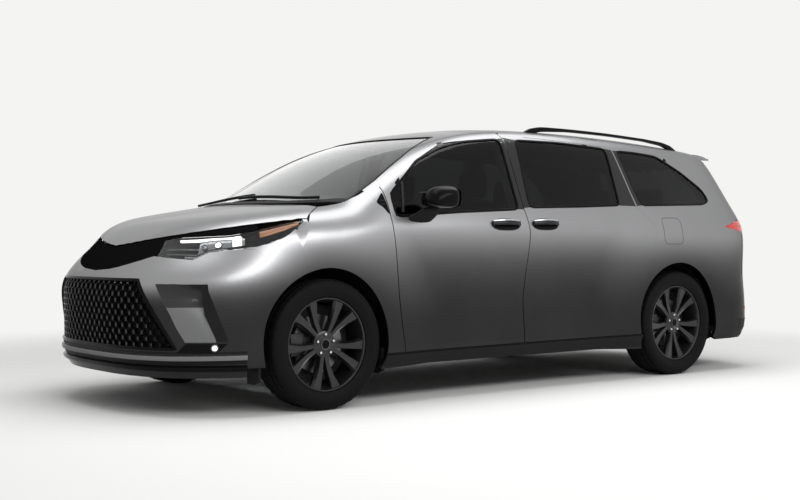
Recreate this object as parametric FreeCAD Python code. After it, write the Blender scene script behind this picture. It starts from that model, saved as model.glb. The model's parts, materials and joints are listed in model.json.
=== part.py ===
import FreeCAD, Part
import math
import os

# A three-row minivan, in millimetres: +X forward, +Y to its left, +Z up, standing on the ground at Z = 0.

# Overall sizes
LENGTH = 5184.0
ROOF_HEIGHT = 1740.0
DOOR_HALF_WIDTH = 960.0
WHEELBASE = 3061.0
FRONT_AXLE_X = 1582.0
REAR_AXLE_X = FRONT_AXLE_X - WHEELBASE
NOSE_X = LENGTH / 2
TAIL_X = -LENGTH / 2

# Gaps and small clearances
MOVING_GAP = 6.0
SEAT_GAP = 0.3
OVERRUN = 300.0
PROBE = 1.0
POLE_SIDES = 12

# Wall thicknesses of the panels
SIDE_WALL = 80.0
DOOR_WALL = 55.0
ROOF_WALL = 30.0
HOOD_WALL = 22.0
FENDER_WALL = 28.0
BUMPER_WALL = 30.0
TAILGATE_WALL = 60.0
GLASS_WALL = 5.0
GLASS_DEPTH = 4.0
FLANGE = 24.0
SEAM_LEAN = 0.26

# Wheels
TYRE_RADIUS = 371.5
TYRE_WIDTH = 235.0
RIM_RADIUS = 268.0
WHEEL_Y = 855.0
AXLE_HEIGHT = TYRE_RADIUS
ARCH_RADIUS = 420.0
ARCH_HEIGHT = 385.0
ARCH_LIP = 28.0
LINER_RADIUS = 446.0
LINER_WALL = 14.0

# Where the round nose and the round tail begin
FRONT_TURN_X = 1600.0
REAR_TURN_X = -1860.0
TAIL_POWER = 4.0


class Curve:
    """Smooth line through stations of (place, value): a natural cubic spline."""

    def __init__(self, stations):
        self.place = [station[0] for station in stations]
        self.value = [station[1] for station in stations]
        count = len(stations)
        self.span = [self.place[i + 1] - self.place[i] for i in range(count - 1)]
        slope = [(self.value[i + 1] - self.value[i]) / self.span[i] for i in range(count - 1)]
        upper = [0.0] * count
        right = [0.0] * count
        for i in range(1, count - 1):
            before = self.span[i - 1]
            middle = 2 * (before + self.span[i]) - before * upper[i - 1]
            upper[i] = self.span[i] / middle
            right[i] = (6 * (slope[i] - slope[i - 1]) - before * right[i - 1]) / middle
        self.bend = [0.0] * count
        for i in range(count - 2, 0, -1):
            self.bend[i] = right[i] - upper[i] * self.bend[i + 1]

    def __call__(self, at):
        place, value, span, bend = self.place, self.value, self.span, self.bend
        if at <= place[0]:
            slope = (value[1] - value[0]) / span[0] - span[0] * bend[1] / 6
            return value[0] + slope * (at - place[0])
        if at >= place[-1]:
            slope = (value[-1] - value[-2]) / span[-1] + span[-1] * bend[-2] / 6
            return value[-1] + slope * (at - place[-1])
        i = 0
        while at > place[i + 1]:
            i += 1
        low = (place[i + 1] - at) / span[i]
        high = (at - place[i]) / span[i]
        curved = (low ** 3 - low) * bend[i] + (high ** 3 - high) * bend[i + 1]
        return low * value[i] + high * value[i + 1] + curved * span[i] ** 2 / 6


class Polyline:
    """Straight runs through stations of (place, value)."""

    def __init__(self, stations):
        self.stations = stations

    def __call__(self, at):
        stations = self.stations
        i = 0
        while i < len(stations) - 2 and at > stations[i + 1][0]:
            i += 1
        start, end = stations[i], stations[i + 1]
        return start[1] + (end[1] - start[1]) * (at - start[0]) / (end[0] - start[0])


def scaled(shares, place_size, value_size):
    """Stations of (place, value) from shares of two named sizes."""
    return [(place * place_size, value * value_size) for place, value in shares]


# Section of the body side: shares of the roof height, and of the half width at the doors
SECTION_SHARES = (
    (0.080, 0.940), (0.126, 0.962), (0.165, 0.985), (0.220, 0.987), (0.330, 0.980),
    (0.450, 0.990), (0.560, 1.000), (0.600, 0.994), (0.650, 0.968), (0.720, 0.918),
    (0.800, 0.862), (0.900, 0.790), (1.000, 0.712), (1.100, 0.630),
)
# Nose and tail on the centre line: shares of the roof height, and of half the length
NOSE_SHARES = (
    (0.086, 0.953), (0.132, 0.982), (0.172, 0.9935), (0.241, 0.9985), (0.322, 1.000),
    (0.402, 0.999), (0.437, 0.993), (0.468, 0.982), (0.500, 0.966), (0.534, 0.945),
    (0.575, 0.927), (0.644, 0.899), (0.718, 0.872),
)
TAIL_SHARES = (
    (0.086, 0.950), (0.132, 0.972), (0.190, 0.993), (0.259, 1.000), (0.322, 0.998),
    (0.397, 0.988), (0.489, 0.984), (0.575, 0.981), (0.632, 0.973), (0.718, 0.950),
    (0.805, 0.923), (0.891, 0.892), (0.977, 0.857), (1.034, 0.832),
)
# How square the nose is in plan: shares of the roof height, and the power of the curve
NOSE_POWER_SHARES = ((0.086, 2.85), (0.345, 2.85), (0.425, 2.75), (0.500, 2.35), (0.575, 2.25), (0.690, 2.25))
# Centre lines of the hood, the windshield and the roof: shares of half the length and of the roof height
HOOD_SHARES = (
    (0.502, 0.704), (0.617, 0.684), (0.694, 0.6665), (0.772, 0.6465), (0.849, 0.6205),
    (0.907, 0.5910), (0.945, 0.5560), (0.984, 0.5070), (1.022, 0.4500),
)
WINDSHIELD_SHARES = (
    (0.039, 1.017), (0.154, 0.980), (0.266, 0.928), (0.399, 0.847), (0.512, 0.763),
    (0.602, 0.694), (0.694, 0.624),
)
ROOF_SHARES = (
    (-0.965, 0.920), (-0.849, 0.951), (-0.694, 0.974), (-0.502, 0.990), (-0.309, 0.999),
    (-0.116, 1.000), (0.000, 0.995), (0.154, 0.974), (0.309, 0.937),
)

# Bulges of the body over the wheels, and the crowns of its upper panels
FENDER_BULGE = 28.0
FENDER_REACH = 420.0
HAUNCH_BULGE = 34.0
HAUNCH_REACH = 520.0
HAUNCH_STRETCH = 0.8
HAUNCH_HEIGHT_STRETCH = 0.86
TAPER_START_X = -600.0
TAPER_DEPTH = 60.0
TAPER_LENGTH = 1900.0
TAPER_HEIGHT = 1100.0
TAPER_RISE = 400.0
HOOD_CROWN = 45.0
HOOD_CROWN_WIDTH = 900.0
ROOF_CROWN = 36.0
ROOF_CROWN_WIDTH = 600.0
WINDSHIELD_BOW = 240.0
WINDSHIELD_BOW_WIDTH = 800.0
HOOD_ROUNDING = 260.0
ROOF_ROUNDING = 150.0
HEADER_ROUNDING = 120.0
COWL_ROUNDING = 60.0
SHOULDER_REAR_X = 1000.0
SHOULDER_FRONT_X = 1500.0

section_line = Curve(scaled(SECTION_SHARES, ROOF_HEIGHT, DOOR_HALF_WIDTH))
nose_line = Curve(scaled(NOSE_SHARES, ROOF_HEIGHT, NOSE_X))
tail_line = Curve(scaled(TAIL_SHARES, ROOF_HEIGHT, TAIL_X))
nose_power_line = Curve(scaled(NOSE_POWER_SHARES, ROOF_HEIGHT, 1))
hood_line = Curve(scaled(HOOD_SHARES, NOSE_X, ROOF_HEIGHT))
windshield_line = Curve(scaled(WINDSHIELD_SHARES, NOSE_X, ROOF_HEIGHT))
roof_line = Curve(scaled(ROOF_SHARES, NOSE_X, ROOF_HEIGHT))


def soft_max(first, second, rounding):
    """Larger of two distances, blended over a rounding length."""
    blend = max(rounding - abs(first - second), 0) / rounding
    return max(first, second) + blend ** 3 * rounding / 6


def soft_min(first, second, rounding):
    return -soft_max(-first, -second, rounding)


def fade(share):
    """One at zero or below, falling smoothly to zero at one."""
    if share <= 0:
        return 1.0
    return (1 - share * share) ** 2 if share < 1 else 0.0


def half_width(x, z):
    """Half width of the body, with its bulges over the wheels."""
    width = section_line(z)
    reach = math.hypot(x - FRONT_AXLE_X, z - ARCH_HEIGHT)
    width += FENDER_BULGE * fade((reach - ARCH_RADIUS) / FENDER_REACH)
    along = x - REAR_AXLE_X
    if along < 0:
        along *= HAUNCH_STRETCH
    reach = math.hypot(along, (z - ARCH_HEIGHT) * HAUNCH_HEIGHT_STRETCH)
    width += HAUNCH_BULGE * fade((reach - ARCH_RADIUS * HAUNCH_HEIGHT_STRETCH) / HAUNCH_REACH)
    if z > TAPER_HEIGHT and x < TAPER_START_X:
        taper = ((TAPER_START_X - x) / TAPER_LENGTH) ** 2
        width -= TAPER_DEPTH * taper * min((z - TAPER_HEIGHT) / TAPER_RISE, 1)
    return width


def plan_distance(x, y, z):
    """Distance outside the plan outline at one height: below zero inside."""
    half = half_width(x, z)
    side = abs(y) / half
    if x > FRONT_TURN_X:
        power = nose_power_line(z)
        end = (x - FRONT_TURN_X) / (nose_line(z) - FRONT_TURN_X)
    elif x < REAR_TURN_X:
        power = TAIL_POWER
        end = (x - REAR_TURN_X) / (tail_line(z) - REAR_TURN_X)
    else:
        return (side - 1) * half
    return ((side ** power + end ** power) ** (1 / power) - 1) * half


def top_height(x, y):
    """Height of the hood, windshield and roof over one plan point."""
    hood = hood_line(x) - HOOD_CROWN * (abs(y) / HOOD_CROWN_WIDTH) ** 2
    glass = windshield_line(x + WINDSHIELD_BOW * (y / WINDSHIELD_BOW_WIDTH) ** 2)
    roof = roof_line(x) - ROOF_CROWN * (y / ROOF_CROWN_WIDTH) ** 2
    return soft_max(hood, soft_min(glass, roof, HEADER_ROUNDING), COWL_ROUNDING)


def body_distance(x, y, z):
    """Distance outside the whole outer skin: below zero inside."""
    share = (x - SHOULDER_REAR_X) / (SHOULDER_FRONT_X - SHOULDER_REAR_X)
    share = min(max(share, 0), 1)
    rounding = ROOF_ROUNDING + (HOOD_ROUNDING - ROOF_ROUNDING) * share
    return soft_max(plan_distance(x, y, z), z - top_height(x, y), rounding)


def outward(point):
    """Unit normal of the skin at a point."""
    x, y, z = point
    step = PROBE
    normal = FreeCAD.Vector(
        body_distance(x + step, y, z) - body_distance(x - step, y, z),
        body_distance(x, y + step, z) - body_distance(x, y - step, z),
        body_distance(x, y, z + step) - body_distance(x, y, z - step),
    )
    return normal.normalize()


def skin_point(origin, direction):
    """Point where a ray from inside the body leaves its skin."""
    direction = FreeCAD.Vector(direction).normalize()
    far = DOOR_HALF_WIDTH / 8
    while body_distance(*(origin + direction * far)) < 0:
        far += DOOR_HALF_WIDTH / 8
    near = far - DOOR_HALF_WIDTH / 8
    for _ in range(24):
        middle = (near + far) / 2
        if body_distance(*(origin + direction * middle)) < 0:
            near = middle
        else:
            far = middle
    return origin + direction * near


def offset_grid(grid, normals, depth):
    """Grid of points moved inwards from the skin by a depth."""
    return [[p - n * depth for p, n in zip(row, across)] for row, across in zip(grid, normals)]


def facet(*corners):
    return Part.Face(Part.makePolygon(list(corners) + [corners[0]]))


def sheet(grid):
    """Small flat faces over a grid of points, split along each shorter diagonal."""
    faces = []
    for row, following in zip(grid[:-1], grid[1:]):
        for a, b, c, d in zip(row[:-1], following[:-1], following[1:], row[1:]):
            if (a - c).Length <= (b - d).Length:
                faces += [facet(a, b, c), facet(a, c, d)]
            else:
                faces += [facet(a, b, d), facet(b, c, d)]
    return faces


def closed_solid(faces):
    shell = Part.makeShell(faces)
    shell.sewShape()
    solid = Part.Solid(shell)
    if solid.Volume < 0:
        solid.reverse()
    return solid


def slab(outer, inner):
    """Closed solid between two grids of points."""
    faces = sheet(outer) + sheet(inner)
    faces += sheet([outer[0], inner[0]]) + sheet([outer[-1], inner[-1]])
    for end in (0, -1):
        faces += sheet([[row[end] for row in outer], [row[end] for row in inner]])
    return closed_solid(faces)


def steps(start, end, count):
    """Evenly spaced values, both ends included."""
    return [start + (end - start) * i / (count - 1) for i in range(count)]


def skin_slab(rays, depth, wall):
    """Solid wall that follows the skin at a depth below it, over a grid of rays."""
    grid = [[skin_point(origin, direction) for origin, direction in row] for row in rays]
    normals = [[outward(point) for point in row] for row in grid]
    return slab(offset_grid(grid, normals, depth), offset_grid(grid, normals, depth + wall))


# Rays that reach the skin of each region
SPINE_HEIGHT = 800.0
SIDE_LOW_ANGLE = -32.0
SIDE_HIGH_ANGLE = 58.0
SIDE_COLUMNS = 20
SIDE_ROWS = 11
TAIL_SPINE_X = -1700.0
SIDE_FRONT_X = 1500.0
TAIL_SIDE_ANGLE = 62.0
ROOF_REAR_X = -2230.0
ROOF_FRONT_X = 640.0
ROOF_HALF_WIDTH = 640.0
NOSE_SPAN_ANGLE = 84.0


def side_rays(front_x, rear_x, tail_angle, columns, rows):
    """Rays to the left side, which turn round the tail corner behind its spine."""
    rays = []
    tail_columns = max(int(columns / 4), 2) if tail_angle > 0 else 0
    places = [(x, 0) for x in steps(front_x, rear_x, columns - tail_columns)]
    if tail_angle > 0:
        places += [(rear_x, angle) for angle in steps(0, tail_angle, tail_columns + 1)[1:]]
    for x, turn in places:
        row = []
        for angle in steps(SIDE_LOW_ANGLE, SIDE_HIGH_ANGLE, rows):
            level = math.cos(math.radians(angle))
            direction = FreeCAD.Vector(
                -math.sin(math.radians(turn)) * level, math.cos(math.radians(turn)) * level,
                math.sin(math.radians(angle)))
            row.append((FreeCAD.Vector(x, 0, SPINE_HEIGHT), direction))
        rays.append(row)
    return rays


def roof_rays(front_x, rear_x, half_width_share, columns, rows):
    rays = []
    for x in steps(front_x, rear_x, columns):
        across = [
            (FreeCAD.Vector(x, share * ROOF_HALF_WIDTH * half_width_share, SPINE_HEIGHT), FreeCAD.Vector(0, 0, 1))
            for share in steps(-1, 1, rows)
        ]
        rays.append(across)
    return rays


def ring_slab(centre_x, heading, bounds, depth, wall, columns, rows):
    """Wall round the nose or tail; bounds turns two shares into a plan angle and a height."""
    rays = []
    for u in steps(0, 1, columns):
        row = []
        for v in steps(0, 1, rows):
            angle, height = bounds(u, v)
            angle = math.radians(angle)
            direction = FreeCAD.Vector(heading * math.cos(angle), math.sin(angle), 0)
            row.append((FreeCAD.Vector(centre_x, 0, height), direction))
        rays.append(row)
    return skin_slab(rays, depth, wall)


def between(start_angle, end_angle, low, high):
    """Bounds of a band between two height lines over a range of plan angles."""
    def bounds(u, v):
        angle = start_angle + (end_angle - start_angle) * u
        return angle, low(angle) + (high(angle) - low(angle)) * v
    return bounds


def level(height):
    return lambda angle: height


# Plain shapes
def box(x, y, z):
    """Box from pairs of (low, high) along each axis."""
    return Part.makeBox(x[1] - x[0], y[1] - y[0], z[1] - z[0], FreeCAD.Vector(x[0], y[0], z[0]))


def rod(radius, start, end):
    start, end = FreeCAD.Vector(start), FreeCAD.Vector(end)
    return Part.makeCylinder(radius, (end - start).Length, start, end - start)


def ring_point(radius, offset, step, count):
    turn = 2 * math.pi * step / count
    return FreeCAD.Vector(radius * math.cos(turn), offset, radius * math.sin(turn))


def turned(profile, count):
    """Many-sided solid of revolution about the Y axis, from (radius, offset) corners."""
    faces = []
    for (r, y), (far_r, far_y) in zip(profile, profile[1:] + profile[:1]):
        if r == 0 and far_r == 0:
            continue
        for i in range(count):
            corners = [ring_point(r, y, i, count)]
            if r > 0:
                corners.append(ring_point(r, y, i + 1, count))
            corners.append(ring_point(far_r, far_y, i + 1, count))
            if far_r > 0:
                corners.append(ring_point(far_r, far_y, i, count))
            faces.append(facet(*corners))
    return closed_solid(faces)


def pole(radius, start, end, count=POLE_SIDES):
    """Many-sided rod between two points."""
    start, end = FreeCAD.Vector(start), FreeCAD.Vector(end)
    shape = turned([(0, 0), (radius, 0), (radius, (end - start).Length), (0, (end - start).Length)], count)
    turn = FreeCAD.Rotation(FreeCAD.Vector(0, 1, 0), end - start)
    shape.Placement = FreeCAD.Placement(start, turn)
    return shape


def largest(shape):
    """The biggest solid of a cut shape, without the slivers that a cut may leave."""
    return max(shape.Solids, key=lambda solid: solid.Volume)


def mirrored(shape):
    return shape.mirror(FreeCAD.Vector(0, 0, 0), FreeCAD.Vector(0, 1, 0))


def fused(shapes):
    return shapes[0].fuse(shapes[1:]).removeSplitter() if len(shapes) > 1 else shapes[0]


os.makedirs("parts", exist_ok=True)


def save(name, *solids):
    """Write one named piece, its solids side by side where it has several."""
    kept = []
    for solid in solids:
        kept += solid.Solids
    shape = kept[0] if len(kept) == 1 else Part.makeCompound(kept)
    shape.exportStep("parts/" + name + ".step")


# Outlines seen from the side: (x, z) points as shares of half the length and of the roof height
DOOR_FRONT_SHARES = ((0.3970, 0.1640), (0.4117, 0.3500), (0.4209, 0.4856), (0.4306, 0.6305))
DOOR_PILLAR_SHARES = ((0.4306, 0.7300), (0.3086, 0.8560), (0.2350, 0.9060), (0.1600, 0.9350), (0.0800, 0.9540))
DOOR_TOP_SHARE = (0.0080, 0.9590)
DOOR_REAR_SHARES = ((0.0080, 0.9590), (0.0042, 0.6700), (-0.0027, 0.5830), (0.0100, 0.4400), (0.0174, 0.3333), (0.0131, 0.1640))
SLIDER_TOP_SHARES = ((-0.1780, 0.9625), (-0.3700, 0.9560))
SLIDER_REAR_SHARES = (
    (-0.3960, 0.9200), (-0.4240, 0.6914), (-0.4772, 0.6121), (-0.4668, 0.5448), (-0.4210, 0.3220), (-0.3900, 0.1690))
FRONT_GLASS_SHARES = (
    (0.4160, 0.6330), (0.4160, 0.7120), (0.3067, 0.8368), (0.2207, 0.8902), (0.1400, 0.9180), (0.0216, 0.9356),
    (0.0216, 0.6680), (0.2226, 0.6530))
SLIDER_GLASS_SHARES = ((-0.0330, 0.9360), (-0.1900, 0.9380), (-0.3700, 0.9250), (-0.3600, 0.6940), (-0.2000, 0.6840), (-0.0170, 0.6760))
QUARTER_GLASS_SHARES = (
    (-0.4140, 0.9200), (-0.4900, 0.9180), (-0.5800, 0.9085), (-0.6700, 0.8450), (-0.7420, 0.7724), (-0.7560, 0.7250),
    (-0.7200, 0.7080), (-0.4460, 0.6960))
SAIL_SHARES = ((0.4340, 0.6400), (0.4600, 0.6850), (0.4360, 0.7170))
FENDER_SHARES = ((0.4700, 0.7250), (0.6200, 0.7500), (0.8500, 0.7500), (0.8500, 0.1000), (0.3960, 0.1000))
BUMPER_SEAM_SHARES = ((0.6900, 0.4000), (0.7010, 0.4224), (0.7176, 0.4328), (0.7778, 0.5224), (0.8500, 0.5300))
TAIL_LAMP_SHARES = ((-0.7880, 0.6130), (-0.8600, 0.6380), (-1.0300, 0.6440), (-1.0300, 0.5850), (-0.8700, 0.5950))
REAR_BUMPER_TOP_SHARE = 0.397

# Outlines seen from above: (x, y) points as shares of half the length and of the half width at the doors
WINDSHIELD_FRONT_SHARES = ((0.5190, 0.8330), (0.5960, 0.4700), (0.6210, 0.0000))
WINDSHIELD_SIDE_SHARES = ((0.4270, 0.7970), (0.3310, 0.7260), (0.2420, 0.6350), (0.1860, 0.5780))
WINDSHIELD_REAR_SHARES = ((0.1860, 0.5780), (0.2240, 0.3100), (0.2370, 0.0000))
HOOD_REAR_SHARES = ((0.5990, 0.8330), (0.6400, 0.4700), (0.6520, 0.0000))
HOOD_CORNER_SHARE = (0.6570, 0.9500)

# Outlines seen from behind: (y, z) points as shares of the half width at the doors and of the roof height
TAILGATE_SHARES = ((0.6250, 0.4000), (0.6800, 0.5600), (0.6900, 0.6500), (0.6650, 0.8000), (0.6050, 0.9300))
REAR_GLASS_SHARES = ((0.6150, 0.6900), (0.5950, 0.8000), (0.5450, 0.8950))

# Bands round the nose: (plan angle, height) with the height as a share of the roof height
HOOD_SEAM_SHARES = (
    (0.0, 0.5350), (7.0, 0.5400), (22.0, 0.5550), (41.0, 0.5755), (56.4, 0.5940), (70.7, 0.6105), (83.5, 0.6225))
LAMP_TOP_SHARES = ((30.0, 0.5490), (38.0, 0.5600), (47.0, 0.5630), (56.6, 0.5665), (64.0, 0.5790), (75.0, 0.6030), (82.3, 0.6170))
LAMP_LOW_SHARES = (
    (30.0, 0.5010), (40.0, 0.4930), (45.6, 0.4890), (50.0, 0.5130), (60.0, 0.5240), (68.0, 0.5340), (75.0, 0.5620), (82.3, 0.6120))
PANEL_LOW_SHARES = ((0.0, 0.4530), (12.0, 0.4600), (22.0, 0.4800), (30.0, 0.5010))
GRILLE_SHARES = ((27.8, 0.4270), (41.2, 0.2130))
FOG_POCKET_SHARES = ((44.0, 53.0, 0.2350), (34.5, 50.5, 0.4150))
GRILLE_DEPTH = 18.0
GRILLE_WALL = 20.0
FOG_DEPTH = 20.0
FOG_WALL = 20.0
PANEL_DEPTH = 3.0
PANEL_WALL = 18.0
PANEL_END_ANGLE = 66.0
LAMP_DEPTH = 60.0
SPLITTER_PROUD = 6.0
SPLITTER_WALL = 60.0
SPLITTER_END_ANGLE = 62.0
LAMP_START_ANGLE = 31.5
LAMP_END_ANGLE = 82.3
FIT_ANGLE = 0.04
BUMPER_LOW_HEIGHT = 265.0
SPLITTER_LOW_HEIGHT = 215.0
SILL_HEIGHT = 222.0

lamp_top = Polyline(scaled(LAMP_TOP_SHARES, 1, ROOF_HEIGHT))
lamp_low = Polyline(scaled(LAMP_LOW_SHARES, 1, ROOF_HEIGHT))
hood_seam = Curve(scaled(HOOD_SEAM_SHARES, 1, ROOF_HEIGHT))
panel_low = Polyline(scaled(PANEL_LOW_SHARES, 1, ROOF_HEIGHT))


def side_runs(shares):
    return [(x * NOSE_X, z * ROOF_HEIGHT) for x, z in shares]


def plan_runs(shares):
    return [(x * NOSE_X, y * DOOR_HALF_WIDTH) for x, y in shares]


def rear_runs(shares):
    return [(y * DOOR_HALF_WIDTH, z * ROOF_HEIGHT) for y, z in shares]


def grown(points, distance):
    """Closed flat outline moved outwards by a distance at each corner."""
    turn = sum(a[0] * b[1] - b[0] * a[1] for a, b in zip(points, points[1:] + points[:1]))
    sign = 1 if turn > 0 else -1
    moved = []
    for before, here, after in zip(points[-1:] + points[:-1], points, points[1:] + points[:1]):
        into = FreeCAD.Vector(here[0] - before[0], here[1] - before[1], 0).normalize()
        away = FreeCAD.Vector(after[0] - here[0], after[1] - here[1], 0).normalize()
        left = FreeCAD.Vector(into.y + away.y, -into.x - away.x, 0).normalize()
        reach = distance / max(left.dot(FreeCAD.Vector(into.y, -into.x, 0)), 0.35)
        moved.append((here[0] + sign * left.x * reach, here[1] + sign * left.y * reach))
    return moved


def flat_prism(points, place, run):
    """Prism over a closed outline, its points put in space by a function."""
    corners = [place(point) for point in points]
    return Part.Face(Part.makePolygon(corners + corners[:1])).extrude(run)


def prism_y(points, low, high):
    return flat_prism(points, lambda p: FreeCAD.Vector(p[0], low, p[1]), FreeCAD.Vector(0, high - low, 0))


def prism_z(points, low, high):
    return flat_prism(points, lambda p: FreeCAD.Vector(p[0], p[1], low), FreeCAD.Vector(0, 0, high - low))


def prism_x(points, low, high):
    return flat_prism(points, lambda p: FreeCAD.Vector(low, p[0], p[1]), FreeCAD.Vector(high - low, 0, 0))


def leaning_prism(points, lean_points, near, far):
    """Prism along Y whose walls at the leaning points run forward as they go inboard."""
    wires = []
    for y in (near, far):
        corners = []
        for point in points:
            lean = SEAM_LEAN * (half_width(point[0], point[1]) - y) if point in lean_points else 0
            corners.append(FreeCAD.Vector(point[0] + lean, y, point[1]))
        wires.append(corners)
    faces = []
    for a, b, c, d in zip(wires[0], wires[1], wires[1][1:] + wires[1][:1], wires[0][1:] + wires[0][:1]):
        faces += [facet(a, b, c), facet(a, c, d)]
    faces += [Part.Face(Part.makePolygon(wire + wire[:1])) for wire in wires]
    return closed_solid(faces)


def both_sides(points):
    """Outline of a shape that is the same on both sides, from its left half with x first."""
    right = [(x, -y) for x, y in reversed(points) if abs(y) > 0]
    return points + right


INNER_Y = 250.0
OUTER_Y = 1200.0
DOOR_TOP_Y = 655.0


def door_outline(grow):
    front = side_runs(DOOR_FRONT_SHARES)
    pillar = side_runs(DOOR_PILLAR_SHARES)
    rear = side_runs(DOOR_REAR_SHARES)
    return grown(front + pillar + rear, grow), len(front) + len(pillar)


def door_prism(grow, inner_y):
    points, first_rear = door_outline(grow)
    return leaning_prism(points, points[first_rear:], OUTER_Y, inner_y)


def slider_prism(grow, inner_y):
    """Prism of the sliding door, whose front edge keeps the moving gap behind the front door."""
    front = [(x - MOVING_GAP, z) for x, z in side_runs(DOOR_REAR_SHARES)]
    points = front[::-1] + side_runs(SLIDER_TOP_SHARES) + side_runs(SLIDER_REAR_SHARES)
    points = grown(points, grow)
    return leaning_prism(points, points[:len(front)], OUTER_Y, inner_y)


def arch_cutter(axle_x, radius):
    return rod(radius, (axle_x, INNER_Y, ARCH_HEIGHT), (axle_x, OUTER_Y, ARCH_HEIGHT))


def left_skin(depth, wall):
    """The whole left side at a depth, on the one grid that every side panel shares."""
    return skin_slab(side_rays(SIDE_FRONT_X, TAIL_SPINE_X, TAIL_SIDE_ANGLE, SIDE_COLUMNS, SIDE_ROWS), depth, wall)


def fender_skin(depth, wall):
    return skin_slab(side_rays(FENDER_FRONT_X, FENDER_REAR_X, 0, FENDER_COLUMNS, FENDER_ROWS), depth, wall)


def top_prism(points, grow):
    return prism_z(grown(both_sides(points), grow), 0, ROOF_HEIGHT + OVERRUN)


def windshield_outline():
    front = plan_runs(WINDSHIELD_FRONT_SHARES)
    return front[::-1] + plan_runs(WINDSHIELD_SIDE_SHARES) + plan_runs(WINDSHIELD_REAR_SHARES)[1:]


ROOF_SIDE_Y = 585.0
ROOF_END_X = -2125.0


def roof_outline():
    front = plan_runs(WINDSHIELD_REAR_SHARES)[::-1]
    return front + [(front[-1][0], ROOF_SIDE_Y), (ROOF_END_X, ROOF_SIDE_Y), (ROOF_END_X, 0)]


def tailgate_outline():
    """Outline seen from behind, as (y, z), both sides."""
    left = rear_runs(TAILGATE_SHARES)
    top = [(ROOF_SIDE_Y - MOVING_GAP, ROOF_HEIGHT + OVERRUN)]
    left = left + top
    return left + [(-y, z) for y, z in reversed(left)]


def rear_glass_outline():
    left = rear_runs(REAR_GLASS_SHARES)
    return left + [(-y, z) for y, z in reversed(left)]


REAR_REGION_X = -2000.0


def tailgate_prism(grow):
    outline = grown(tailgate_outline(), grow)
    return prism_x(outline, TAIL_X - OVERRUN, ROOF_END_X - MOVING_GAP + grow)


def hood_outline():
    rear = plan_runs(HOOD_REAR_SHARES)
    corner = (HOOD_CORNER_SHARE[0] * NOSE_X, HOOD_CORNER_SHARE[1] * DOOR_HALF_WIDTH)
    front = [corner, (corner[0], OUTER_Y), (NOSE_X + OVERRUN, OUTER_Y), (NOSE_X + OVERRUN, 0)]
    return rear[::-1] + front


SEAM_DEPTH = 500.0


def under_seam(gap):
    """Everything round the nose that lies below the hood's seam."""
    low = level(BUMPER_LOW_HEIGHT)
    return ring_slab(
        FRONT_TURN_X, 1, between(-NOSE_SPAN_ANGLE, NOSE_SPAN_ANGLE, low, lambda a: hood_seam(abs(a)) - gap),
        -SEAM_DEPTH, SEAM_DEPTH * 1.6, 31, 2)


# Body sides
def body_side():
    """Left side of the body: sill, pillars, roof rail and rear quarter, with its openings."""
    skin = left_skin(0, SIDE_WALL)
    outer = left_skin(-SIDE_WALL, SIDE_WALL + DOOR_WALL + SEAT_GAP)
    recess = door_prism(MOVING_GAP, DOOR_TOP_Y - MOVING_GAP).fuse(slider_prism(SEAT_GAP, DOOR_TOP_Y - SEAT_GAP))
    body = skin.cut(recess.common(outer))
    body = body.cut(door_prism(-FLANGE, INNER_Y)).cut(slider_prism(-FLANGE, INNER_Y))
    body = body.cut(prism_y(side_runs(QUARTER_GLASS_SHARES), INNER_Y, OUTER_Y))
    body = body.cut(arch_cutter(REAR_AXLE_X, ARCH_RADIUS)).cut(arch_cutter(FRONT_AXLE_X, ARCH_RADIUS))
    lined = LINER_RADIUS + LINER_WALL + SEAT_GAP
    body = body.cut(pole(lined, (FRONT_AXLE_X, INNER_Y, ARCH_HEIGHT),
                         (FRONT_AXLE_X, FRONT_LINER_OUTER_Y + SEAT_GAP, ARCH_HEIGHT), WELL_SIDES))
    fender = fender_skin(-SIDE_WALL, SIDE_WALL + FENDER_WALL + SEAT_GAP)
    body = body.cut(fender_region(SEAT_GAP).common(fender))
    front = (SIDE_HINGE_X, FRONT_AXLE_X + OVERRUN)
    body = body.cut(box(front, (INNER_Y, OUTER_Y), (0, FENDER_TOP_Z)))
    body = body.cut(top_prism(windshield_outline(), 0))
    body = body.cut(top_prism(roof_outline(), SEAT_GAP).common(box((TAIL_X, NOSE_X), (0, OUTER_Y), (ROOF_LOW_Z, ROOF_HEIGHT + OVERRUN))))
    body = body.cut(tailgate_prism(MOVING_GAP))
    tail = (TAIL_X - OVERRUN, REAR_AXLE_X)
    body = body.cut(box(tail, (INNER_Y, OUTER_Y), (0, REAR_BUMPER_TOP_SHARE * ROOF_HEIGHT)))
    lamp = left_skin(-SIDE_WALL, SIDE_WALL + LAMP_WALL + SEAT_GAP)
    body = body.cut(prism_y(grown(side_runs(TAIL_LAMP_SHARES), SEAT_GAP), 0, OUTER_Y).common(lamp))
    body = body.cut(box((SWING_NOTCH_REAR_X, SWING_NOTCH_X), (0, OUTER_Y), (SWING_NOTCH_LOW_Z, SWING_NOTCH_TOP_Z)))
    body = body.cut(box((TAIL_X, GATE_RELIEF_X), (0, GATE_RELIEF_Y), (ROOF_LOW_Z - GATE_RELIEF_RISE, ROOF_LOW_Z + GATE_RELIEF_RISE)))
    return largest(body.cut(box((COWL_REAR_X, NOSE_X), (0, COWL_SIDE_Y), (0, ROOF_HEIGHT))))


# The door's front frame bar swings forward through this notch at the pillar's foot
SWING_NOTCH_REAR_X = 1080.0
SWING_NOTCH_X = 1115.0
SWING_NOTCH_LOW_Z = 1085.0
SWING_NOTCH_TOP_Z = 1262.0
# Room beside the tailgate's shoulders as they rise
GATE_RELIEF_X = -2190.0
GATE_RELIEF_Y = 632.0
GATE_RELIEF_RISE = 65.0


SIDE_HINGE_X = 1190.0
FENDER_TOP_Z = 1175.0
ROOF_LOW_Z = 1500.0
LAMP_WALL = 45.0
COWL_REAR_X = 1340.0
COWL_SIDE_Y = 800.0


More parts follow.
